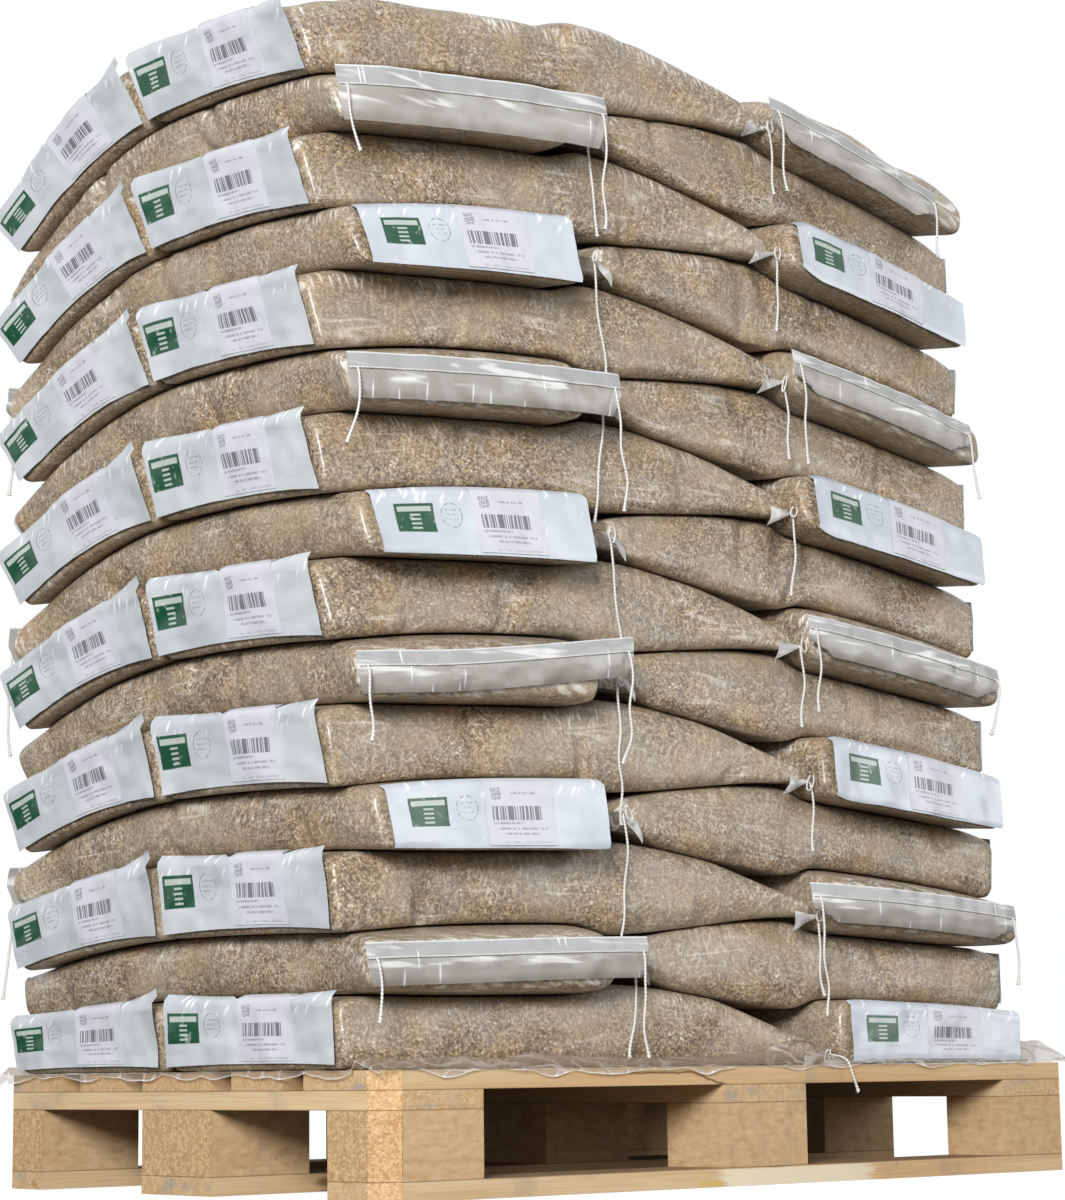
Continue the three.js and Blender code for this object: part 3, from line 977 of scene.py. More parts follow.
def folded_film(name, dark, light, see_through):
    """Crumpled empty film between two colours, with sharp creases painted bright as highlights and a part
    that shows through.
    """
    finish = Finish(name)
    place = finish.place()
    cloudy = finish.noise(place, 30.0, 3.0)
    crease = finish.noise(place, 24.0, 1.0, 0.5, 0.3)
    ridge = finish.ridge(crease, 26.0)
    colour = finish.mix(cloudy.step(0.35, 0.7), dark, light)
    # Bright lines on the creases: painted highlights.
    colour = finish.mix(ridge * 0.5, colour, linear(236, 234, 230))
    alpha = (see_through + ridge * 0.3 + cloudy * 0.1).least(1.0)
    normal = finish.bump(cloudy, 0.003, 0.4)
    return finish.film(colour, 0.2, normal, alpha, 0.6)


def sewing_thread():
    """White cotton with a fine twist that follows the thread's own map, painted darker in its grooves as
    shade.
    """
    finish = Finish("sewing_thread")
    along, around = finish.flat_map()[1:]
    twist = finish.node("ShaderNodeMath", {"operation": "SINE"}, {0: along * 2600.0 + around * 6.2832})
    # The grooves of the twist are painted darker: painted shade.
    colour = finish.mix(twist.step(-0.8, 0.6), linear(206, 203, 197), linear(244, 243, 239))
    return finish.surface(Base_Color=colour, Roughness=0.8, Normal=finish.bump(twist, 0.0003, 0.5))


FLAP_FILM = flap_film()
# The neck film is a darker, browner copy of the ear film: painted shade for the gaps between the layers where
# the necks lie.
SHADED_NECK_FILM = folded_film("shaded_neck_film", linear(132, 119, 106), linear(178, 168, 156), 0.66)
EAR_FILM = folded_film("ear_film", linear(196, 195, 192), linear(228, 229, 228), 0.74)
SEWING_THREAD = sewing_thread()
print("finish made:", FLAP_FILM.name, SHADED_NECK_FILM.name, EAR_FILM.name, SEWING_THREAD.name)

# %% [markdown]
# A thread is a round section carried along a path. At each point of the path two directions square to
# it hold the section, and the ends close on their middle points. The braided tails use the same tube
# with a section of two lobes that turns as it goes, which looks like two strands laid round each other.

# %% A tube along a path


def tube_along(name, path, radius, sides=6, pitch=None):
    """Rings of points round a path. With a pitch, each has two lobes that turn once in that length."""
    heading = np.gradient(path, axis=0)
    heading /= np.linalg.norm(heading, axis=1, keepdims=True)
    aside = np.cross(heading, [0.31, 0.87, 0.39])
    aside /= np.linalg.norm(aside, axis=1, keepdims=True)
    other = np.cross(heading, aside)
    turn = np.linspace(0, 2 * np.pi, sides, endpoint=False)
    walked = np.concatenate([[0], np.cumsum(step_lengths(path))])
    radius = np.broadcast_to(radius, (len(path),))[:, None] * np.ones(sides)
    if pitch:
        radius = radius * (0.70 + 0.30 * np.cos(2 * (turn[None, :] - 2 * np.pi * walked[:, None] / pitch)))
    ring = np.cos(turn)[None, :, None] * aside[:, None] + np.sin(turn)[None, :, None] * other[:, None]
    points = path[:, None] + radius[..., None] * ring
    uv = np.stack(np.meshgrid(walked, turn / (2 * np.pi), indexing="ij"), -1)
    return surface_mesh(name, points, True, [path[0], path[-1]], uv)


# %% [markdown]
# The flap is a sheet with two parameters: across, from ear to ear, and up, from its root at the sack's
# mouth to the cut edge. It runs straight from ear to ear, however the sack behind it bends. The
# stitching line is read off the same surface, which keeps the thread on the film.

# %% Standing flaps of the crosswise sacks
FLAP_FOOT = -0.78
FOOT_HALF = 0.16
THREAD_RADIUS = 0.0010
FLAP_SHIFTS = {7: -0.006, 11: -0.014, 15: -0.040}
FLAP_HEIGHTS = {14: 0.068, 10: 0.054}
FLAP_FEET = {14: -0.95, 15: -1.20}
FLAP_RISES = {6: 0.028, 2: 0.010}


def flap_surface(sack, across, up, proud=0.0):
    """Points of a standing flap: a straight foot line from ear to ear, and the height added straight up."""
    level = sack["level"]
    odd = sack["odd"]
    reach = FLAP_HALF_WIDTH - 0.005 - 0.0027 * level if odd else FLAP_HALF_WIDTH
    shift = FLAP_SHIFTS.get(level, -0.020 if odd else 0.008)
    offset = across * reach * (0.95 + 0.05 * np.clip(up / 0.5, 0, 1)) + shift * sack["across"][0]
    foot = FLAP_FEET.get(level, FLAP_FOOT)
    foot_ends = np.array([-FOOT_HALF, FOOT_HALF])
    ends = sack_point(sack, np.full(2, sack["length"] - 0.004), foot_ends, np.full(2, foot))
    share = (offset + FOOT_HALF) / (2 * FOOT_HALF)
    base = ends[0] + share[..., None] * (ends[1] - ends[0])
    toward_side = np.clip(0.33 + across * sack["across"][0] / 1.5, 0, 1) ** 1.5
    bow = 0.004 * (1 - across**2) + FLAP_RISES.get(level, 0.0) * toward_side
    curled = 0.55 * np.clip(np.abs(across) - 0.80, 0, None) / 0.20
    up = np.maximum(up, curled * 0.6 * odd)
    height = FLAP_HEIGHTS.get(level, FLAP_HEIGHT)
    past = np.clip(np.abs(across) - 0.86, 0, None)
    out = 0.007 + 0.004 * np.sin(np.pi * up) - 0.10 * past * reach + proud
    ripple = 0.0018 * lumps(base + up[..., None] * height * UP, 0.10, sack["seed"] + 31) * up
    ripple = ripple + 0.0009 * lumps(base + up[..., None] * height * UP, 0.035, sack["seed"] + 32)
    return base + (out + ripple)[..., None] * sack["along"] + (bow + up * height)[..., None] * UP


def add_thread(name, path):
    """A sewn thread: its radius swells and shrinks along the path like the loops of a chain stitch."""
    loops = THREAD_RADIUS * (1 + 0.28 * np.cos(np.arange(len(path)) * np.pi))
    add_piece(name, tube_along(name, path, loops), SEWING_THREAD)


def make_flap(sack):
    across, up = np.meshgrid(np.linspace(1, -1, 60), np.linspace(0, 1, 11))
    points = flap_surface(sack, across, up)
    uv = np.stack([across * FLAP_HALF_WIDTH, up], -1)
    mesh = surface_mesh("flap_" + sack["name"], points, uv=uv, flip=True)
    solidify(add_piece("flap_" + sack["name"], mesh, FLAP_FILM), 0.0005)
    along = np.linspace(-0.99, 0.99, 150)
    seam = flap_surface(sack, along, 0 * along + STITCH_SHARE, 0.0012)
    add_thread("stitching_" + sack["name"], seam)


crosswise = [sack for sack in SACKS if not sack["paired"]]
for sack in crosswise:
    make_flap(sack)
print(len(crosswise), "flaps, each with a row of stitching")

# %% [markdown]
# The mouths of the lengthwise sacks lie flat in the stack. The grain stops short of them and the empty
# film goes on as a flattened tube, wider on the outside than the full sack. Its outer corner is folded
# down as an ear.

# %% Empty necks and folded ears of the lengthwise sacks


def neck_surface(sack, along_share, section_parts):
    """A closed section carried from the body to the mouth: it gets lower and its outer corner widens."""
    core, bulges, lifts = section_parts
    shape = mouth_shape(sack)
    odd = sack["odd"]
    start = sack["length"] - shape["empty"] - (0.04 if odd else 0.03)
    distance = start + along_share * (sack["length"] - start)
    full = shape["left"] * 0.86 if odd else 0.30
    thick = full * (1 - along_share) ** 0.7 + (0.05 if odd else 0.22)
    half = sack["half_width"] - 0.012 - SIDE_RADIUS * 0.5
    outer_edge = np.clip(core * sack["outer"], 0, 1) ** 3
    across = core * half + bulges * SIDE_RADIUS * 0.5 + sack["outer"] * NECK_WIDENS * along_share * outer_edge
    low = (shape["droop"] * (1 - shape["left"]) if odd else 0.16) + 0.12 * along_share
    points = sack_point(sack, distance, across, lifts * thick - low)
    crumple = crumples(points, sack["seed"] + 51, (0.0016, 0.08), (0.0005, 0.028))
    return points + (crumple * np.sign(lifts) * 0.6)[..., None] * UP


def make_neck(sack):
    section_parts = section()
    share = np.linspace(0, 1, 11)[:, None]
    points = neck_surface(sack, share, section_parts)
    girth = np.linspace(0, 0.8, len(section_parts[0]))
    uv = np.stack([share * 0.1 + 0 * girth, girth + 0 * share], -1)
    mesh = surface_mesh("neck_" + sack["name"], points, True, end_poles(points), uv)
    add_piece("neck_" + sack["name"], mesh, SHADED_NECK_FILM)


def ear_lift(sack):
    """How high in its layer a lengthwise sack's outer mouth corner lies."""
    shape = mouth_shape(sack)
    return -shape["droop"] * (1 - shape["left"]) - 0.1 if sack["odd"] else 0.12


def make_ear(sack):
    """A folded triangle of film: from the mouth's outer corner one edge runs back and one slants down."""
    odd = sack["odd"]
    shape = mouth_shape(sack)
    back = 0.032 if odd else shape["empty"] + 0.006
    outside = sack["outer"] * (sack["half_width"] + (0.018 if odd else 0.010))
    lift = ear_lift(sack)
    mouth = sack["length"] + (0.004 if odd else 0.020 - shape["empty"])
    corner = sack_point(sack, mouth, outside, lift)
    root_lift = lift + (0.1 if odd else -0.25)
    root = sack_point(sack, sack["length"] - back, outside - sack["outer"] * 0.006, root_lift)
    out = sack["outer"] * sack["across"]
    tip = root - 0.028 * UP - (0.012 if odd else 0.008) * sack["along"] + 0.004 * out
    u, v = np.meshgrid(np.linspace(0, 1, 12), np.linspace(0, 1, 10))
    points = corner + v[..., None] * (root - corner) + (u * v)[..., None] * (tip - root)
    bulge = 0.005 * np.sin(np.pi * u) * v + 0.002 * lumps(points, 0.03, sack["seed"] + 61)
    points = points + bulge[..., None] * out
    mesh = surface_mesh("ear_" + sack["name"], points, uv=np.stack([u * 0.04, v * 0.04], -1))
    solidify(add_piece("ear_" + sack["name"], mesh, EAR_FILM), 0.0005, 0.0)


lengthwise = [sack for sack in SACKS if sack["paired"]]
for sack in lengthwise:
    make_neck(sack)
    make_ear(sack)
print(len(lengthwise), "necks, each with a folded ear")

# %% [markdown]
# The machine that sews the mouths leaves a braided tail of thread at each end of the seam. The tails
# are limp, 40 to 195 mm long, and hang straight down from the corners in front of the layers below. A
# tail's last centimetre is frayed and thicker, and some seams end in a small loop above the tail.

# %% Hanging thread tails
THREAD_THICK = 0.0038
LOOP_RADIUS = 0.0011
BRAID_PITCH = 0.009
FRAYED = 0.008
LONG_NEAR_TAILS = (0.15, 0.20)
SHORT_NEAR_TAILS = (0.08, 0.12)
OUTER_TAILS = (0.07, 0.10)
INNER_TAILS = (0.11, 0.17)
FAR_LEFT_LONGER = 0.06
OVER_THE_EDGE_LENGTH = 0.050
CLEAR_OF_SEAM = 0.006
OVER_THE_EDGE_Y = -0.409
TAILS_END_ABOVE = 0.150


def hang_tail(name, last_stitch, top, length, out, seed, clear=CLEAR_OF_SEAM):
    """A tail's path: it leaves the seam outwards, turns down and hangs with a slight seeded sway.

    One that keeps close to the seam ends above the deck.
    """
    rng = np.random.default_rng(seed)
    if clear == CLEAR_OF_SEAM:
        length = min(length, top[2] - TAILS_END_ABOVE)
    walked = np.linspace(0, 1, 28)
    sway = 0.005 * lumps(np.outer(walked, [0.0, 0.0, length]), 0.07, seed, 5) * walked**0.5
    leaves = clear * (1 - np.exp(-walked * 12))
    drift = rng.uniform(-0.018, 0.018) * walked**2
    aside = np.cross(UP, out)
    drop = length * 0.985 * (walked - 0.02 * (1 - np.exp(-walked * 20)))
    path = top + leaves[:, None] * out + (sway + drift)[:, None] * aside - drop[:, None] * UP
    steps = step_lengths(path).sum()
    fine = np.linspace(0, 1, max(40, int(steps / 0.0014)))
    dense = np.stack([np.interp(fine, walked, path[:, axis]) for axis in range(3)], -1)
    frayed = 1 + 0.8 * np.exp(-(1 - fine) * steps / FRAYED)
    mesh = tube_along(name, dense, THREAD_THICK / 2 * frayed, 8, BRAID_PITCH)
    piece = add_piece(name, mesh, SEWING_THREAD)
    return float(steps)


def seam_loop(name, top, out, seed):
    """A small upright loop of thread in front of the seam's end: an ellipse that leans to one side."""
    rng = np.random.default_rng(seed)
    turn = np.linspace(0.4, 2 * np.pi - 0.4, 40)
    width = rng.uniform(0.003, 0.006)
    height = rng.uniform(0.007, 0.012)
    aside = np.cross(UP, out)
    over = width * np.sin(turn) + rng.uniform(-0.4, 0.4) * height * (1 - np.cos(turn))
    path = top + 0.008 * out + over[:, None] * aside - (height * (1 - np.cos(turn)) - 0.006)[:, None] * UP
    add_piece(name, tube_along(name, path, LOOP_RADIUS), SEWING_THREAD)


def mouth_corner(sack):
    """Where the seam of a lengthwise sack ends at the stack's outside."""
    shape = mouth_shape(sack)
    odd = sack["odd"]
    outside = sack["outer"] * (sack["half_width"] + (0.020 if odd else 0.012))
    inside = outside - sack["outer"] * 0.020
    distance = sack["length"] - (0.002 if odd else shape["empty"] - 0.020)
    return [sack_point(sack, distance, across, ear_lift(sack)) for across in (inside, outside)]


tails = []
for sack in SACKS:
    rng = np.random.default_rng(sack["seed"] + 80)
    mouth_near = sack["start"][1] > 0
    if sack["paired"] and sack["name"].endswith("near"):
        length = rng.uniform(*(SHORT_NEAR_TAILS if sack["odd"] else LONG_NEAR_TAILS))
        out = np.array([0.0, -1.0, 0.0])
        ends = mouth_corner(sack)
        clear = CLEAR_OF_SEAM
        if sack["level"] == 1:
            length, clear = OVER_THE_EDGE_LENGTH, ends[1][1] - OVER_THE_EDGE_Y
        tails.append(hang_tail("tail_" + sack["name"], *ends, length, out, sack["seed"], clear))
        seam_loop("loop_" + sack["name"], ends[1], out, sack["seed"] + 3)
    elif not sack["paired"]:
        outer_end = sack["outer"]
        for side in (-outer_end, outer_end) if mouth_near else (outer_end,):
            seam_end = np.array([side * 0.82, side * 0.945])
            ends = flap_surface(sack, seam_end, np.full(2, STITCH_SHARE), 0.002)
            where = "outer" if side == outer_end else "inner"
            length = rng.uniform(*(OUTER_TAILS if where == "outer" else INNER_TAILS))
            if not mouth_near and not sack["odd"]:
                length += FAR_LEFT_LONGER
            name = f"tail_{sack['name']}_{where}"
            tails.append(hang_tail(name, *ends, length, sack["along"], sack["seed"] + side))
print(len(tails), "thread tails,", round(min(tails), 3), "to", round(max(tails), 3), "m long")

# %% [markdown]
# Pine boards are sawn along the trunk, so their grain runs lengthwise: long thin streaks with a knot
# here and there, greyer where the weather reached. The blocks are pressed from fine wood particles, so
# their planed faces are smooth and tan, while their ends are speckled and the sawn corners are rough.
# Both patterns read the place in the frame, so every board shows its own part.

# %% Timber finishes
FRONT_FACE = (-0.3990, -0.3996)
BOARD_END_X = (0.5988, 0.5996)
BOARD_END_Y = (0.3988, 0.3996)
BLOCK_END_X = (0.5985, 0.5996)
SAWN_CORNER = (0.9715, 0.9726)
JOINT_HEIGHTS = (0.022, 0.100, 0.122)
JOINT_COLOUR = linear(92, 64, 40)


def cut_corner(finish):
    """1 on the pallet's sawn-off corners, where the distances from the middle add up to their most."""
    x, y = finish.axes()[:2]
    return (abs(x) + abs(y)).step(*SAWN_CORNER)


def joints(finish):
    """Thin dark lines where boards and blocks meet. They are colour only, with no gap behind."""
    z = finish.axes()[2]
    lines = 0.0
    for height in JOINT_HEIGHTS:
        lines = abs(z - height).step(0.0010, 0.0003) + lines
    return lines * 0.6


def particles(finish, dark, middle, light):
    """Crumbs of wood two to four millimetres across, each with its own shade."""
    place = finish.place()
    crumb = finish.cells(place, 520.0)[1]
    larger = finish.cells(place, 240.0)[1]
    return finish.ramp(crumb * 0.55 + larger * 0.45, [(0.15, dark), (0.5, middle), (0.88, light)])


def board_marks(finish, colour):
    """The front face's marks: a crack in the deck board, a pale patch and a yellow spot on the bottom one."""
    x, y, z = finish.axes()
    place = finish.place()
    front = y.step(*FRONT_FACE)
    middle = 0.1374 - x.step(-0.135, -0.072) * 0.0135 + (finish.noise(place, 45.0, 2.0) - 0.5) * 0.007
    crack = abs(z - middle).step(0.0019, 0.0004) * x.step(-0.27, -0.20) * x.step(-0.062, -0.074) * front
    colour = finish.mix(crack * 0.85, colour, linear(94, 62, 34))
    ragged = (finish.noise(finish.stretch(place, (1.0, 1.0, 6.0)), 22.0, 2.0) - 0.5) * 0.05
    patch = (x + ragged).step(-0.085, -0.060) * (x + ragged).step(0.205, 0.170)
    bare = patch * z.step(0.0215, 0.0195) * front
    colour = finish.mix(bare * 0.8, colour, linear(240, 231, 205))
    spot = box_mask(x, z, -0.116, -0.080, 0.002, 0.007, 0.003) * front
    return finish.mix(spot * 0.7, colour, linear(214, 184, 60))


def pine(name, along_x):
    """Streaks along the board, darker latewood lines, knots, grey stains, and speckled sawn ends."""
    finish = Finish(name)
    place = finish.place()
    x, y = finish.axes()[:2]
    scale = (1.3, 34.0, 30.0) if along_x else (34.0, 1.3, 30.0)
    wave = finish.streaks(place, scale, 4.0, 0.55, 1.2)
    fine_scale = (9.0, 420.0, 420.0) if along_x else (420.0, 9.0, 420.0)
    fibre = finish.streaks(place, fine_scale, 3.0, 0.6)
    base = finish.ramp(wave, [
        (0.25, linear(196, 156, 108)),
        (0.45, linear(216, 183, 138)),
        (0.62, linear(226, 198, 156)),
        (0.80, linear(204, 162, 112)),
    ])
    tone = finish.streaks(place, (1.0, 5.0, 14.0) if along_x else (5.0, 1.0, 14.0), 1.0)
    base = finish.mix(tone.step(0.50, 0.62) * 0.45, base, linear(204, 158, 106))
    base = finish.mix(tone.step(0.48, 0.36) * 0.30, base, linear(212, 196, 164))
    colour = finish.mix(fibre.step(0.35, 0.7) * 0.35, base, linear(178, 142, 98))
    knot = finish.cells(finish.stretch(place, (5.0, 17.0, 17.0) if along_x else (17.0, 5.0, 17.0)), 1.0)[0]
    colour = finish.mix(knot.step(0.15, 0.05) * 0.8, colour, linear(112, 74, 44))
    stain = finish.noise(place, 6.5, 4.0, 0.65).step(0.58, 0.72)
    colour = finish.mix(stain * 0.45, colour, linear(140, 134, 122))
    if along_x:
        colour = board_marks(finish, colour)
    sawn = abs(x).step(*BOARD_END_X) if along_x else abs(y).step(*BOARD_END_Y)
    speckled = particles(finish, linear(176, 138, 94), linear(202, 166, 120), linear(222, 192, 148))
    colour = finish.mix(sawn * 0.6, colour, speckled)
    blued = finish.noise(finish.stretch(place, (1.0, 1.0, 2.2)), 15.0, 4.0, 0.65).step(0.50, 0.72)
    colour = finish.mix(sawn * blued * 0.75, colour, linear(150, 150, 146))
    rough = particles(finish, linear(168, 118, 66), linear(212, 166, 112), linear(236, 204, 156))
    colour = finish.mix(cut_corner(finish) * 0.6, colour, rough)
    colour = finish.mix(joints(finish), colour, JOINT_COLOUR)
    height = wave * 0.4 + fibre * 0.6
    return finish.surface(Base_Color=colour, Roughness=0.78, Normal=finish.bump(height, 0.0012, 0.5))


def pressed_chips():
    """Smooth tan faces with a faint mottle and a few dark specks, speckled ends and rough sawn corners."""
    finish = Finish("pressed_chips")
    place = finish.place()
    x = finish.axes()[0]
    faint = finish.noise(finish.stretch(place, (1.0, 1.0, 2.0)), 60.0, 4.0, 0.6)
    colour = finish.ramp(faint, [
        (0.28, linear(186, 150, 108)),
        (0.50, linear(205, 171, 129)),
        (0.74, linear(216, 186, 146)),
    ])
    layered = finish.streaks(place, (3.0, 3.0, 90.0), 3.0).step(0.5, 0.7)
    colour = finish.mix(layered * 0.25, colour, linear(178, 138, 94))
    specks = finish.cells(place, 90.0)[0].step(0.10, 0.04)
    colour = finish.mix(specks * 0.4, colour, linear(120, 84, 52))
    greyed = finish.noise(place, 9.0, 4.0, 0.7).step(0.58, 0.70)
    colour = finish.mix(greyed * 0.35, colour, linear(150, 142, 128))
    ends = abs(x).step(*BLOCK_END_X)
    speckled = particles(finish, linear(168, 128, 84), linear(196, 158, 110), linear(226, 198, 154))
    colour = finish.mix(ends * 0.75, colour, speckled)
    rough = cut_corner(finish)
    crumbs = particles(finish, linear(166, 114, 62), linear(210, 164, 110), linear(236, 206, 158))
    colour = finish.mix(rough * 0.6, colour, crumbs)
    colour = finish.mix(joints(finish), colour, JOINT_COLOUR)
    height = finish.cells(place, 300.0)[1] * (0.15 + ends * 0.25 + rough)
    return finish.surface(Base_Color=colour, Roughness=0.86, Normal=finish.bump(height, 0.0014, 0.7))


PINE_ALONG_X = pine("pine_along_x", True)
PINE_ALONG_Y = pine("pine_along_y", False)
PRESSED_CHIPS = pressed_chips()

for name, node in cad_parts.items():
    if name.startswith("layer_") or name == "deck_film_sheet":
        continue
    wood = PINE_ALONG_Y if name.startswith("stringer") else PINE_ALONG_X
    if name.startswith("block_"):
        wood = PRESSED_CHIPS
    for slot in node.material_slots:
        slot.material = wood
print("timber finished")

# %% [markdown]
# The boards are nailed through into the stringers and the blocks: three nails in a wide board at each
# crossing and two in a narrow one. Only the flat heads show, a few tenths of a millimetre proud.

# %% Nail heads
HEAD_RADIUS = 0.0045
HEAD_PROUD = 0.0003
HEAD_SUNK = 0.001
HEAD_SIDES = 12


def dull_steel():
    finish = Finish("dull_steel")
    worn = finish.noise(finish.place(), 300.0, 2.0)
    colour = finish.mix(worn.step(0.45, 0.65), linear(122, 120, 116), linear(98, 74, 56))
    return finish.surface(Base_Color=colour, Metallic=0.7, Roughness=0.55)


def head_places():
    """Middles of all heads: a triangle of three on wide boards, and two side by side on narrow ones."""
    wide = [(-0.045, 0.030), (0.045, 0.030), (0.0, -0.040)]
    narrow = [(-0.040, 0.015), (0.040, -0.015)]
    columns = (-0.5275, 0.0, 0.5275)
    deck_rows = ((-0.3275, wide), (-0.1575, narrow), (0.0, wide), (0.1575, narrow), (0.3275, wide))
    skid_rows = ((-0.350, narrow), (0.0, wide), (0.350, narrow))
    for x in columns:
        for rows, height, side in ((deck_rows, DECK_TOP, 1), (skid_rows, 0.0, -1)):
            for y, pattern in rows:
                for right, up in pattern:
                    yield (x + right, y + up, height), side


def make_nails():
    """One mesh of all heads: each is a short rim and a flat cap."""
    turn = np.linspace(0, 2 * np.pi, HEAD_SIDES, endpoint=False)
    circle = np.stack([np.cos(turn), np.sin(turn), 0 * turn], -1) * HEAD_RADIUS
    vertices, faces = [], []
    for middle, side in head_places():
        first = len(vertices)
        sunk = np.array(middle) - side * HEAD_SUNK * UP
        proud = np.array(middle) + side * HEAD_PROUD * UP
        ring = circle if side > 0 else circle[::-1]
        vertices += (sunk + ring).tolist() + (proud + 0.85 * ring).tolist()
        cap = first + HEAD_SIDES
        for k in range(HEAD_SIDES):
            onward = (k + 1) % HEAD_SIDES
            faces.append([first + k, first + onward, cap + onward, cap + k])
        faces.append([cap + k for k in range(HEAD_SIDES)])
        faces.append([first + k for k in reversed(range(HEAD_SIDES))])
    mesh = bpy.data.meshes.new("nail_heads")
    mesh.from_pydata(vertices, [], faces)
    add_piece("nail_heads", mesh, dull_steel())
    return len(vertices) // (2 * HEAD_SIDES)


print(make_nails(), "nail heads")

# %% [markdown]
# A loose sheet of clear film lies between the deck and the first layer. Its edge comes out all round
# under the sacks. On the long sides and at the right it stands up against them in a low crumpled ridge
# before it falls to the deck's edge, and at the left end it hangs over the boards in small scallops.
# Each rim is given by the distances from the pallet's middle at which it starts and ends.

# %% Deck film
SHEET_FLOOR = 0.0006
LEFT_RIM = (0.592, 0.6065)
RIGHT_RIM = (0.516, 0.603)
NEAR_RIM = (0.352, 0.4045)
FAR_RIM = (0.376, 0.398)
RIM_UNDER_LABEL = 0.041
RIM_STEPS = 15
FOLD_SHARES = [0.0, 0.25, 0.55, 0.80, 1.0]


def deck_film():
    """Clear film with a faint milky tint. Its crests, rim and sharp creases are painted near white and less
    see-through, as painted highlights.
    """
    finish = Finish("deck_film")
    place = finish.place()
    crease = finish.noise(place, 15.0, 1.0, 0.5, 0.8)
    ridge = finish.ridge(crease, 22.0)
    # Painted highlights on the creases, crests and rim.
    bright = (ridge * 0.45 + finish.value("bright")).least(1.0)
    cloudy = finish.noise(place, 16.0, 2.0)
    alpha = (0.26 + cloudy * 0.25 + bright * 0.6).least(1.0)
    normal = finish.bump(crease, 0.006, 0.7)
    colour = finish.mix(bright, linear(180, 165, 148), linear(252, 252, 252))
    return finish.film(colour, 0.12, normal, alpha, 0.7)


DECK_FILM = deck_film()


def rim_steps(count_inside):
    """Numbers from -2 to 2: the sheet's inside lies from -1 to 1, and the free rims lie beyond it."""
    rim = np.linspace(1, 2, RIM_STEPS + 1)[1:]
    return np.concatenate([-rim[::-1], np.linspace(-1, 1, count_inside), rim])


def fold_out(number, inside, reach, stand, drop):
    """From a rim's number to its place and height: it stands up, comes down as it runs out, and goes over."""
    share = np.clip(np.abs(number) - 1, 0, 1)
    along = np.interp(share, FOLD_SHARES, [0.0, 0.12, 0.85, 0.98, 1.0])
    place = inside * np.clip(np.abs(number), 0, 1) + (reach - inside) * along
    height = stand * np.interp(share, FOLD_SHARES, [0.0, 1.0, 0.10, 0.0, 0.0])
    return place, height - drop * np.interp(share, FOLD_SHARES, [0.0, 0.0, 0.0, 0.35, 1.0]), share


def ridge_in_front(x):
    """How high the film stands along the near side, and the distance at which it folds up there."""
    under_label = np.clip((x - 0.138) / 0.015, 0, 1)
    wave = lumps(np.stack([x, 0 * x, 0 * x], -1), 0.11, 75, 8)
    stand = 0.013 + 0.003 * wave + 0.022 * bell(x - 0.095, 0.050)
    return stand * (1 - under_label) + 0.005 * under_label, NEAR_RIM[0] + RIM_UNDER_LABEL * under_label


def make_deck_film():
    """A grid of rim numbers both ways, folded at each side by its own stand, reach and drop."""
    a, b = np.meshgrid(rim_steps(230), rim_steps(150))
    x_guess = np.clip(a, -1, 1) * np.where(a < 0, LEFT_RIM[0], RIGHT_RIM[0])
    flat = np.stack([x_guess, np.clip(b, -1, 1) * 0.34, 0 * a], -1)
    wave = crumples(flat, 71, (1.0, 0.13), (0.5, 0.05))
    stand_front, inside_front = ridge_in_front(x_guess)
    corner_left = np.clip((b - 0.9) / 0.3, 0, 1) * (a < 0)
    scallop = 0.003 + 0.007 * np.abs(np.sin(flat[..., 1] * np.pi / 0.13 + 0.5 * wave)) + 0.006 * corner_left
    stand_right = 0.012 + 0.020 * bell(flat[..., 1] + 0.36, 0.12) + 0.003 * wave
    left_x, left_z, left_share = fold_out(np.minimum(a, 0), *LEFT_RIM, 0.0, scallop)
    drop_right = 0.004 + 0.003 * wave
    right_x, right_z, right_share = fold_out(np.maximum(a, 0), *RIGHT_RIM, stand_right, drop_right)
    stand_y = np.where(b < 0, stand_front, 0.010 + 0.003 * wave)
    inside_y = np.where(b < 0, inside_front, FAR_RIM[0])
    reach_y = np.where(b < 0, NEAR_RIM[1], FAR_RIM[1])
    drop_y = np.where(b < 0, np.clip(0.003 + 0.004 * wave, 0, None), 0.0)
    y, z_side, side_share = fold_out(b, inside_y, reach_y, stand_y, drop_y)
    x = right_x - left_x
    end_share = np.maximum(left_share, right_share)
    raised = np.maximum(left_z + right_z, z_side)
    dropped = np.minimum(np.minimum(left_z, z_side), 0)
    z = DECK_TOP + SHEET_FLOOR + raised + dropped
    share = np.maximum(end_share, side_share)
    points = np.stack([x, y * np.sign(b), z], -1)
    crumple = crumples(points, 73, (0.0014, 0.060), (0.0005, 0.022))
    points[..., 2] += np.clip(crumple, -0.0002, None) * np.clip(share * 4, 0, 1)
    points[..., 1] += crumple * np.sign(b) * 0.6 * np.clip(side_share * 2, 0, 1)
    # The rim and the crest of the standing fold get a value that the finish paints as a highlight.
    rim = np.clip((share - 0.93) / 0.05, 0, 1)
    crest = bell(share - 0.25, 0.05) * np.clip(0.15 + 0.7 * wave, 0, 1)
    mesh = surface_mesh("deck_film", points, values={"bright": np.clip(rim * 0.9 + crest, 0, 1)})
    piece = add_piece("deck_film", mesh, DECK_FILM)
    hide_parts("deck_film_sheet")


make_deck_film()

# %% [markdown]
# The light is a photographer's white studio: a bright even surround, a large soft lamp high on the left
# in front of the near corner, a second one on the right, and a pale floor that melts into the backdrop.

# %% Light, floor and surround
AMBIENT = 0.34
MIRRORED = 0.75
LOAD_MIDDLE_HEIGHT = 0.75
FLOOR_HALF = 20
FLOOR_HEIGHT = -0.0008


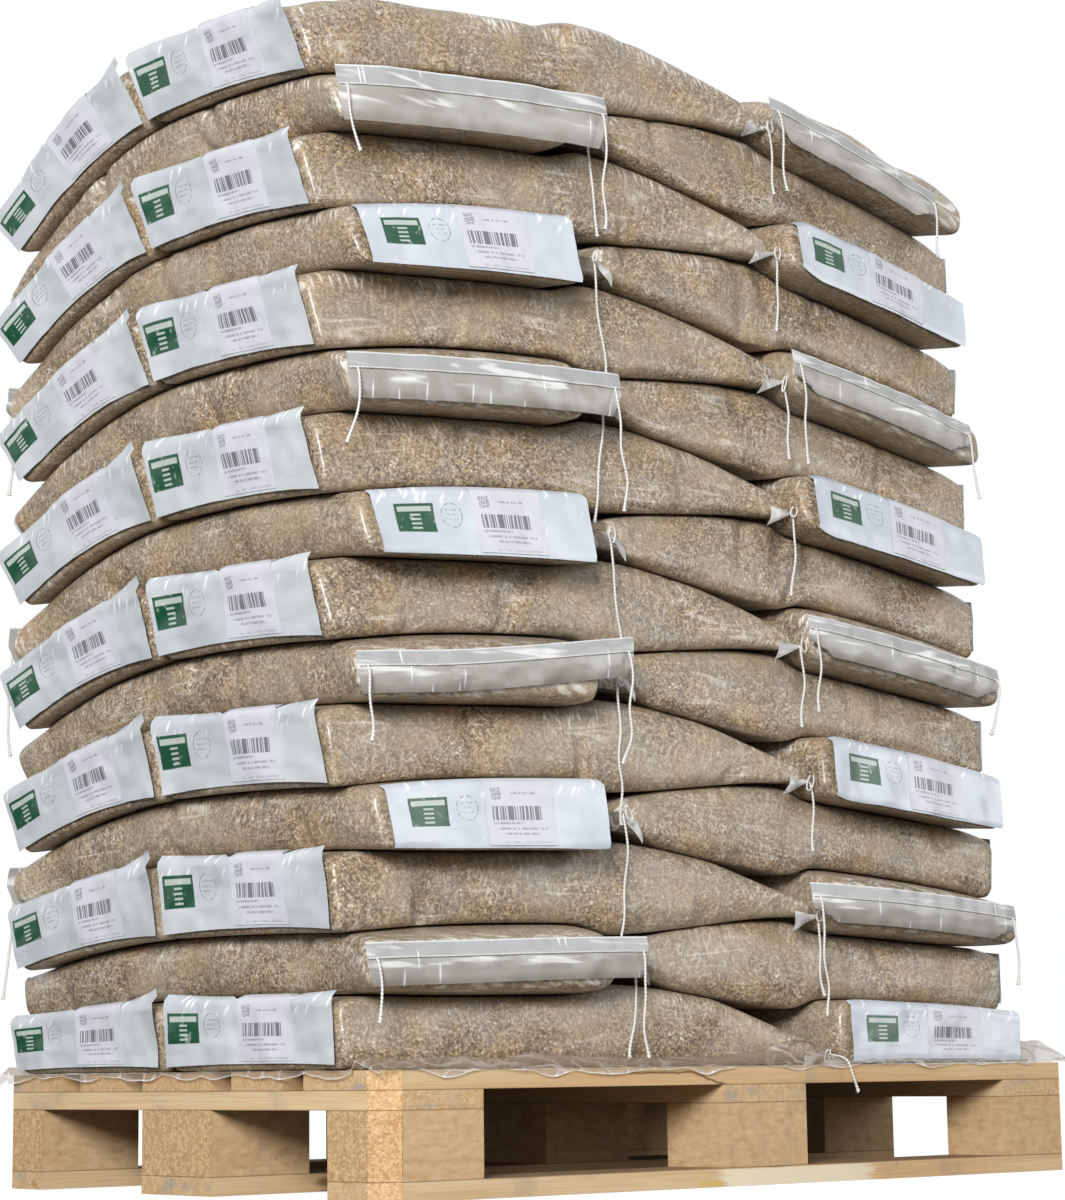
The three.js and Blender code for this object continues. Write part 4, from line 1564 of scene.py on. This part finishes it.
def lamp(name, place, size, power):
    """A square soft lamp that faces the middle of the load."""
    data = bpy.data.lights.new(name, "AREA")
    data.shape = "SQUARE"
    data.size = size
    data.energy = power
    made = bpy.data.objects.new(name, data)
    back = np.array(place) - LOAD_MIDDLE_HEIGHT * UP
    back /= np.linalg.norm(back)
    right = np.cross([0, 0, 1], back)
    right /= np.linalg.norm(right)
    axes = np.column_stack([right, np.cross(back, right), back])
    made.matrix_world = Matrix.Translation(place) @ Matrix(axes.tolist()).to_4x4()
    scene.collection.objects.link(made)


lamp("key_softbox", (-4.9, -4.1, 2.2), 1.7, 420)
lamp("fill_softbox", (3.0, -3.2, 1.3), 2.0, 26)


def white_studio():
    """White all round: full to the camera, a little less in gloss, and much dimmer in what it sheds."""
    world = bpy.data.worlds.new("white_studio")
    world.use_nodes = True
    nodes, links = world.node_tree.nodes, world.node_tree.links
    seen = nodes.new("ShaderNodeLightPath")
    glossy = nodes.new("ShaderNodeMath")
    glossy.operation = "MULTIPLY"
    glossy.inputs[1].default_value = MIRRORED
    links.new(seen.outputs["Is Glossy Ray"], glossy.inputs[0])
    either = nodes.new("ShaderNodeMath")
    either.operation = "MAXIMUM"
    links.new(seen.outputs["Is Camera Ray"], either.inputs[0])
    links.new(glossy.outputs["Value"], either.inputs[1])
    strength = nodes.new("ShaderNodeMapRange")
    strength.inputs["To Min"].default_value = AMBIENT
    strength.inputs["To Max"].default_value = 1.0
    links.new(either.outputs["Value"], strength.inputs["Value"])
    links.new(strength.outputs["Result"], nodes["Background"].inputs["Strength"])
    nodes["Background"].inputs["Color"].default_value = (1, 1, 1, 1)
    scene.world = world


white_studio()
scene.view_settings.view_transform = "Standard"


def studio_floor():
    """A wide flat grid just under the pallet: white to the camera, and duller in what it sheds."""
    line = np.linspace(-FLOOR_HALF, FLOOR_HALF, 3)
    across, deep = np.meshgrid(line, line)
    mesh = surface_mesh("studio_floor", np.stack([across, deep, 0 * across + FLOOR_HEIGHT], -1))
    finish = Finish("studio_floor")
    tone = finish.noise(finish.place(), 0.6)
    colour = finish.mix(tone, linear(238, 238, 238), linear(242, 242, 242))
    glow = {"Base Color": colour, "Roughness": 0.9, "Emission Color": colour, "Emission Strength": 0.75}
    bright = finish.node("ShaderNodeBsdfPrincipled", None, glow)
    dull = finish.node("ShaderNodeBsdfDiffuse", None, {"Color": linear(128, 124, 118)})
    seen = finish.node("ShaderNodeLightPath", output="Is Camera Ray")
    both = finish.node("ShaderNodeMixShader", None, {0: seen, 1: dull, 2: bright})
    finish.node("ShaderNodeOutputMaterial", None, {"Surface": both}, None)
    mesh.materials.append(finish.material)
    floor = bpy.data.objects.new("studio_floor", mesh)
    scene.collection.objects.link(floor)


studio_floor()
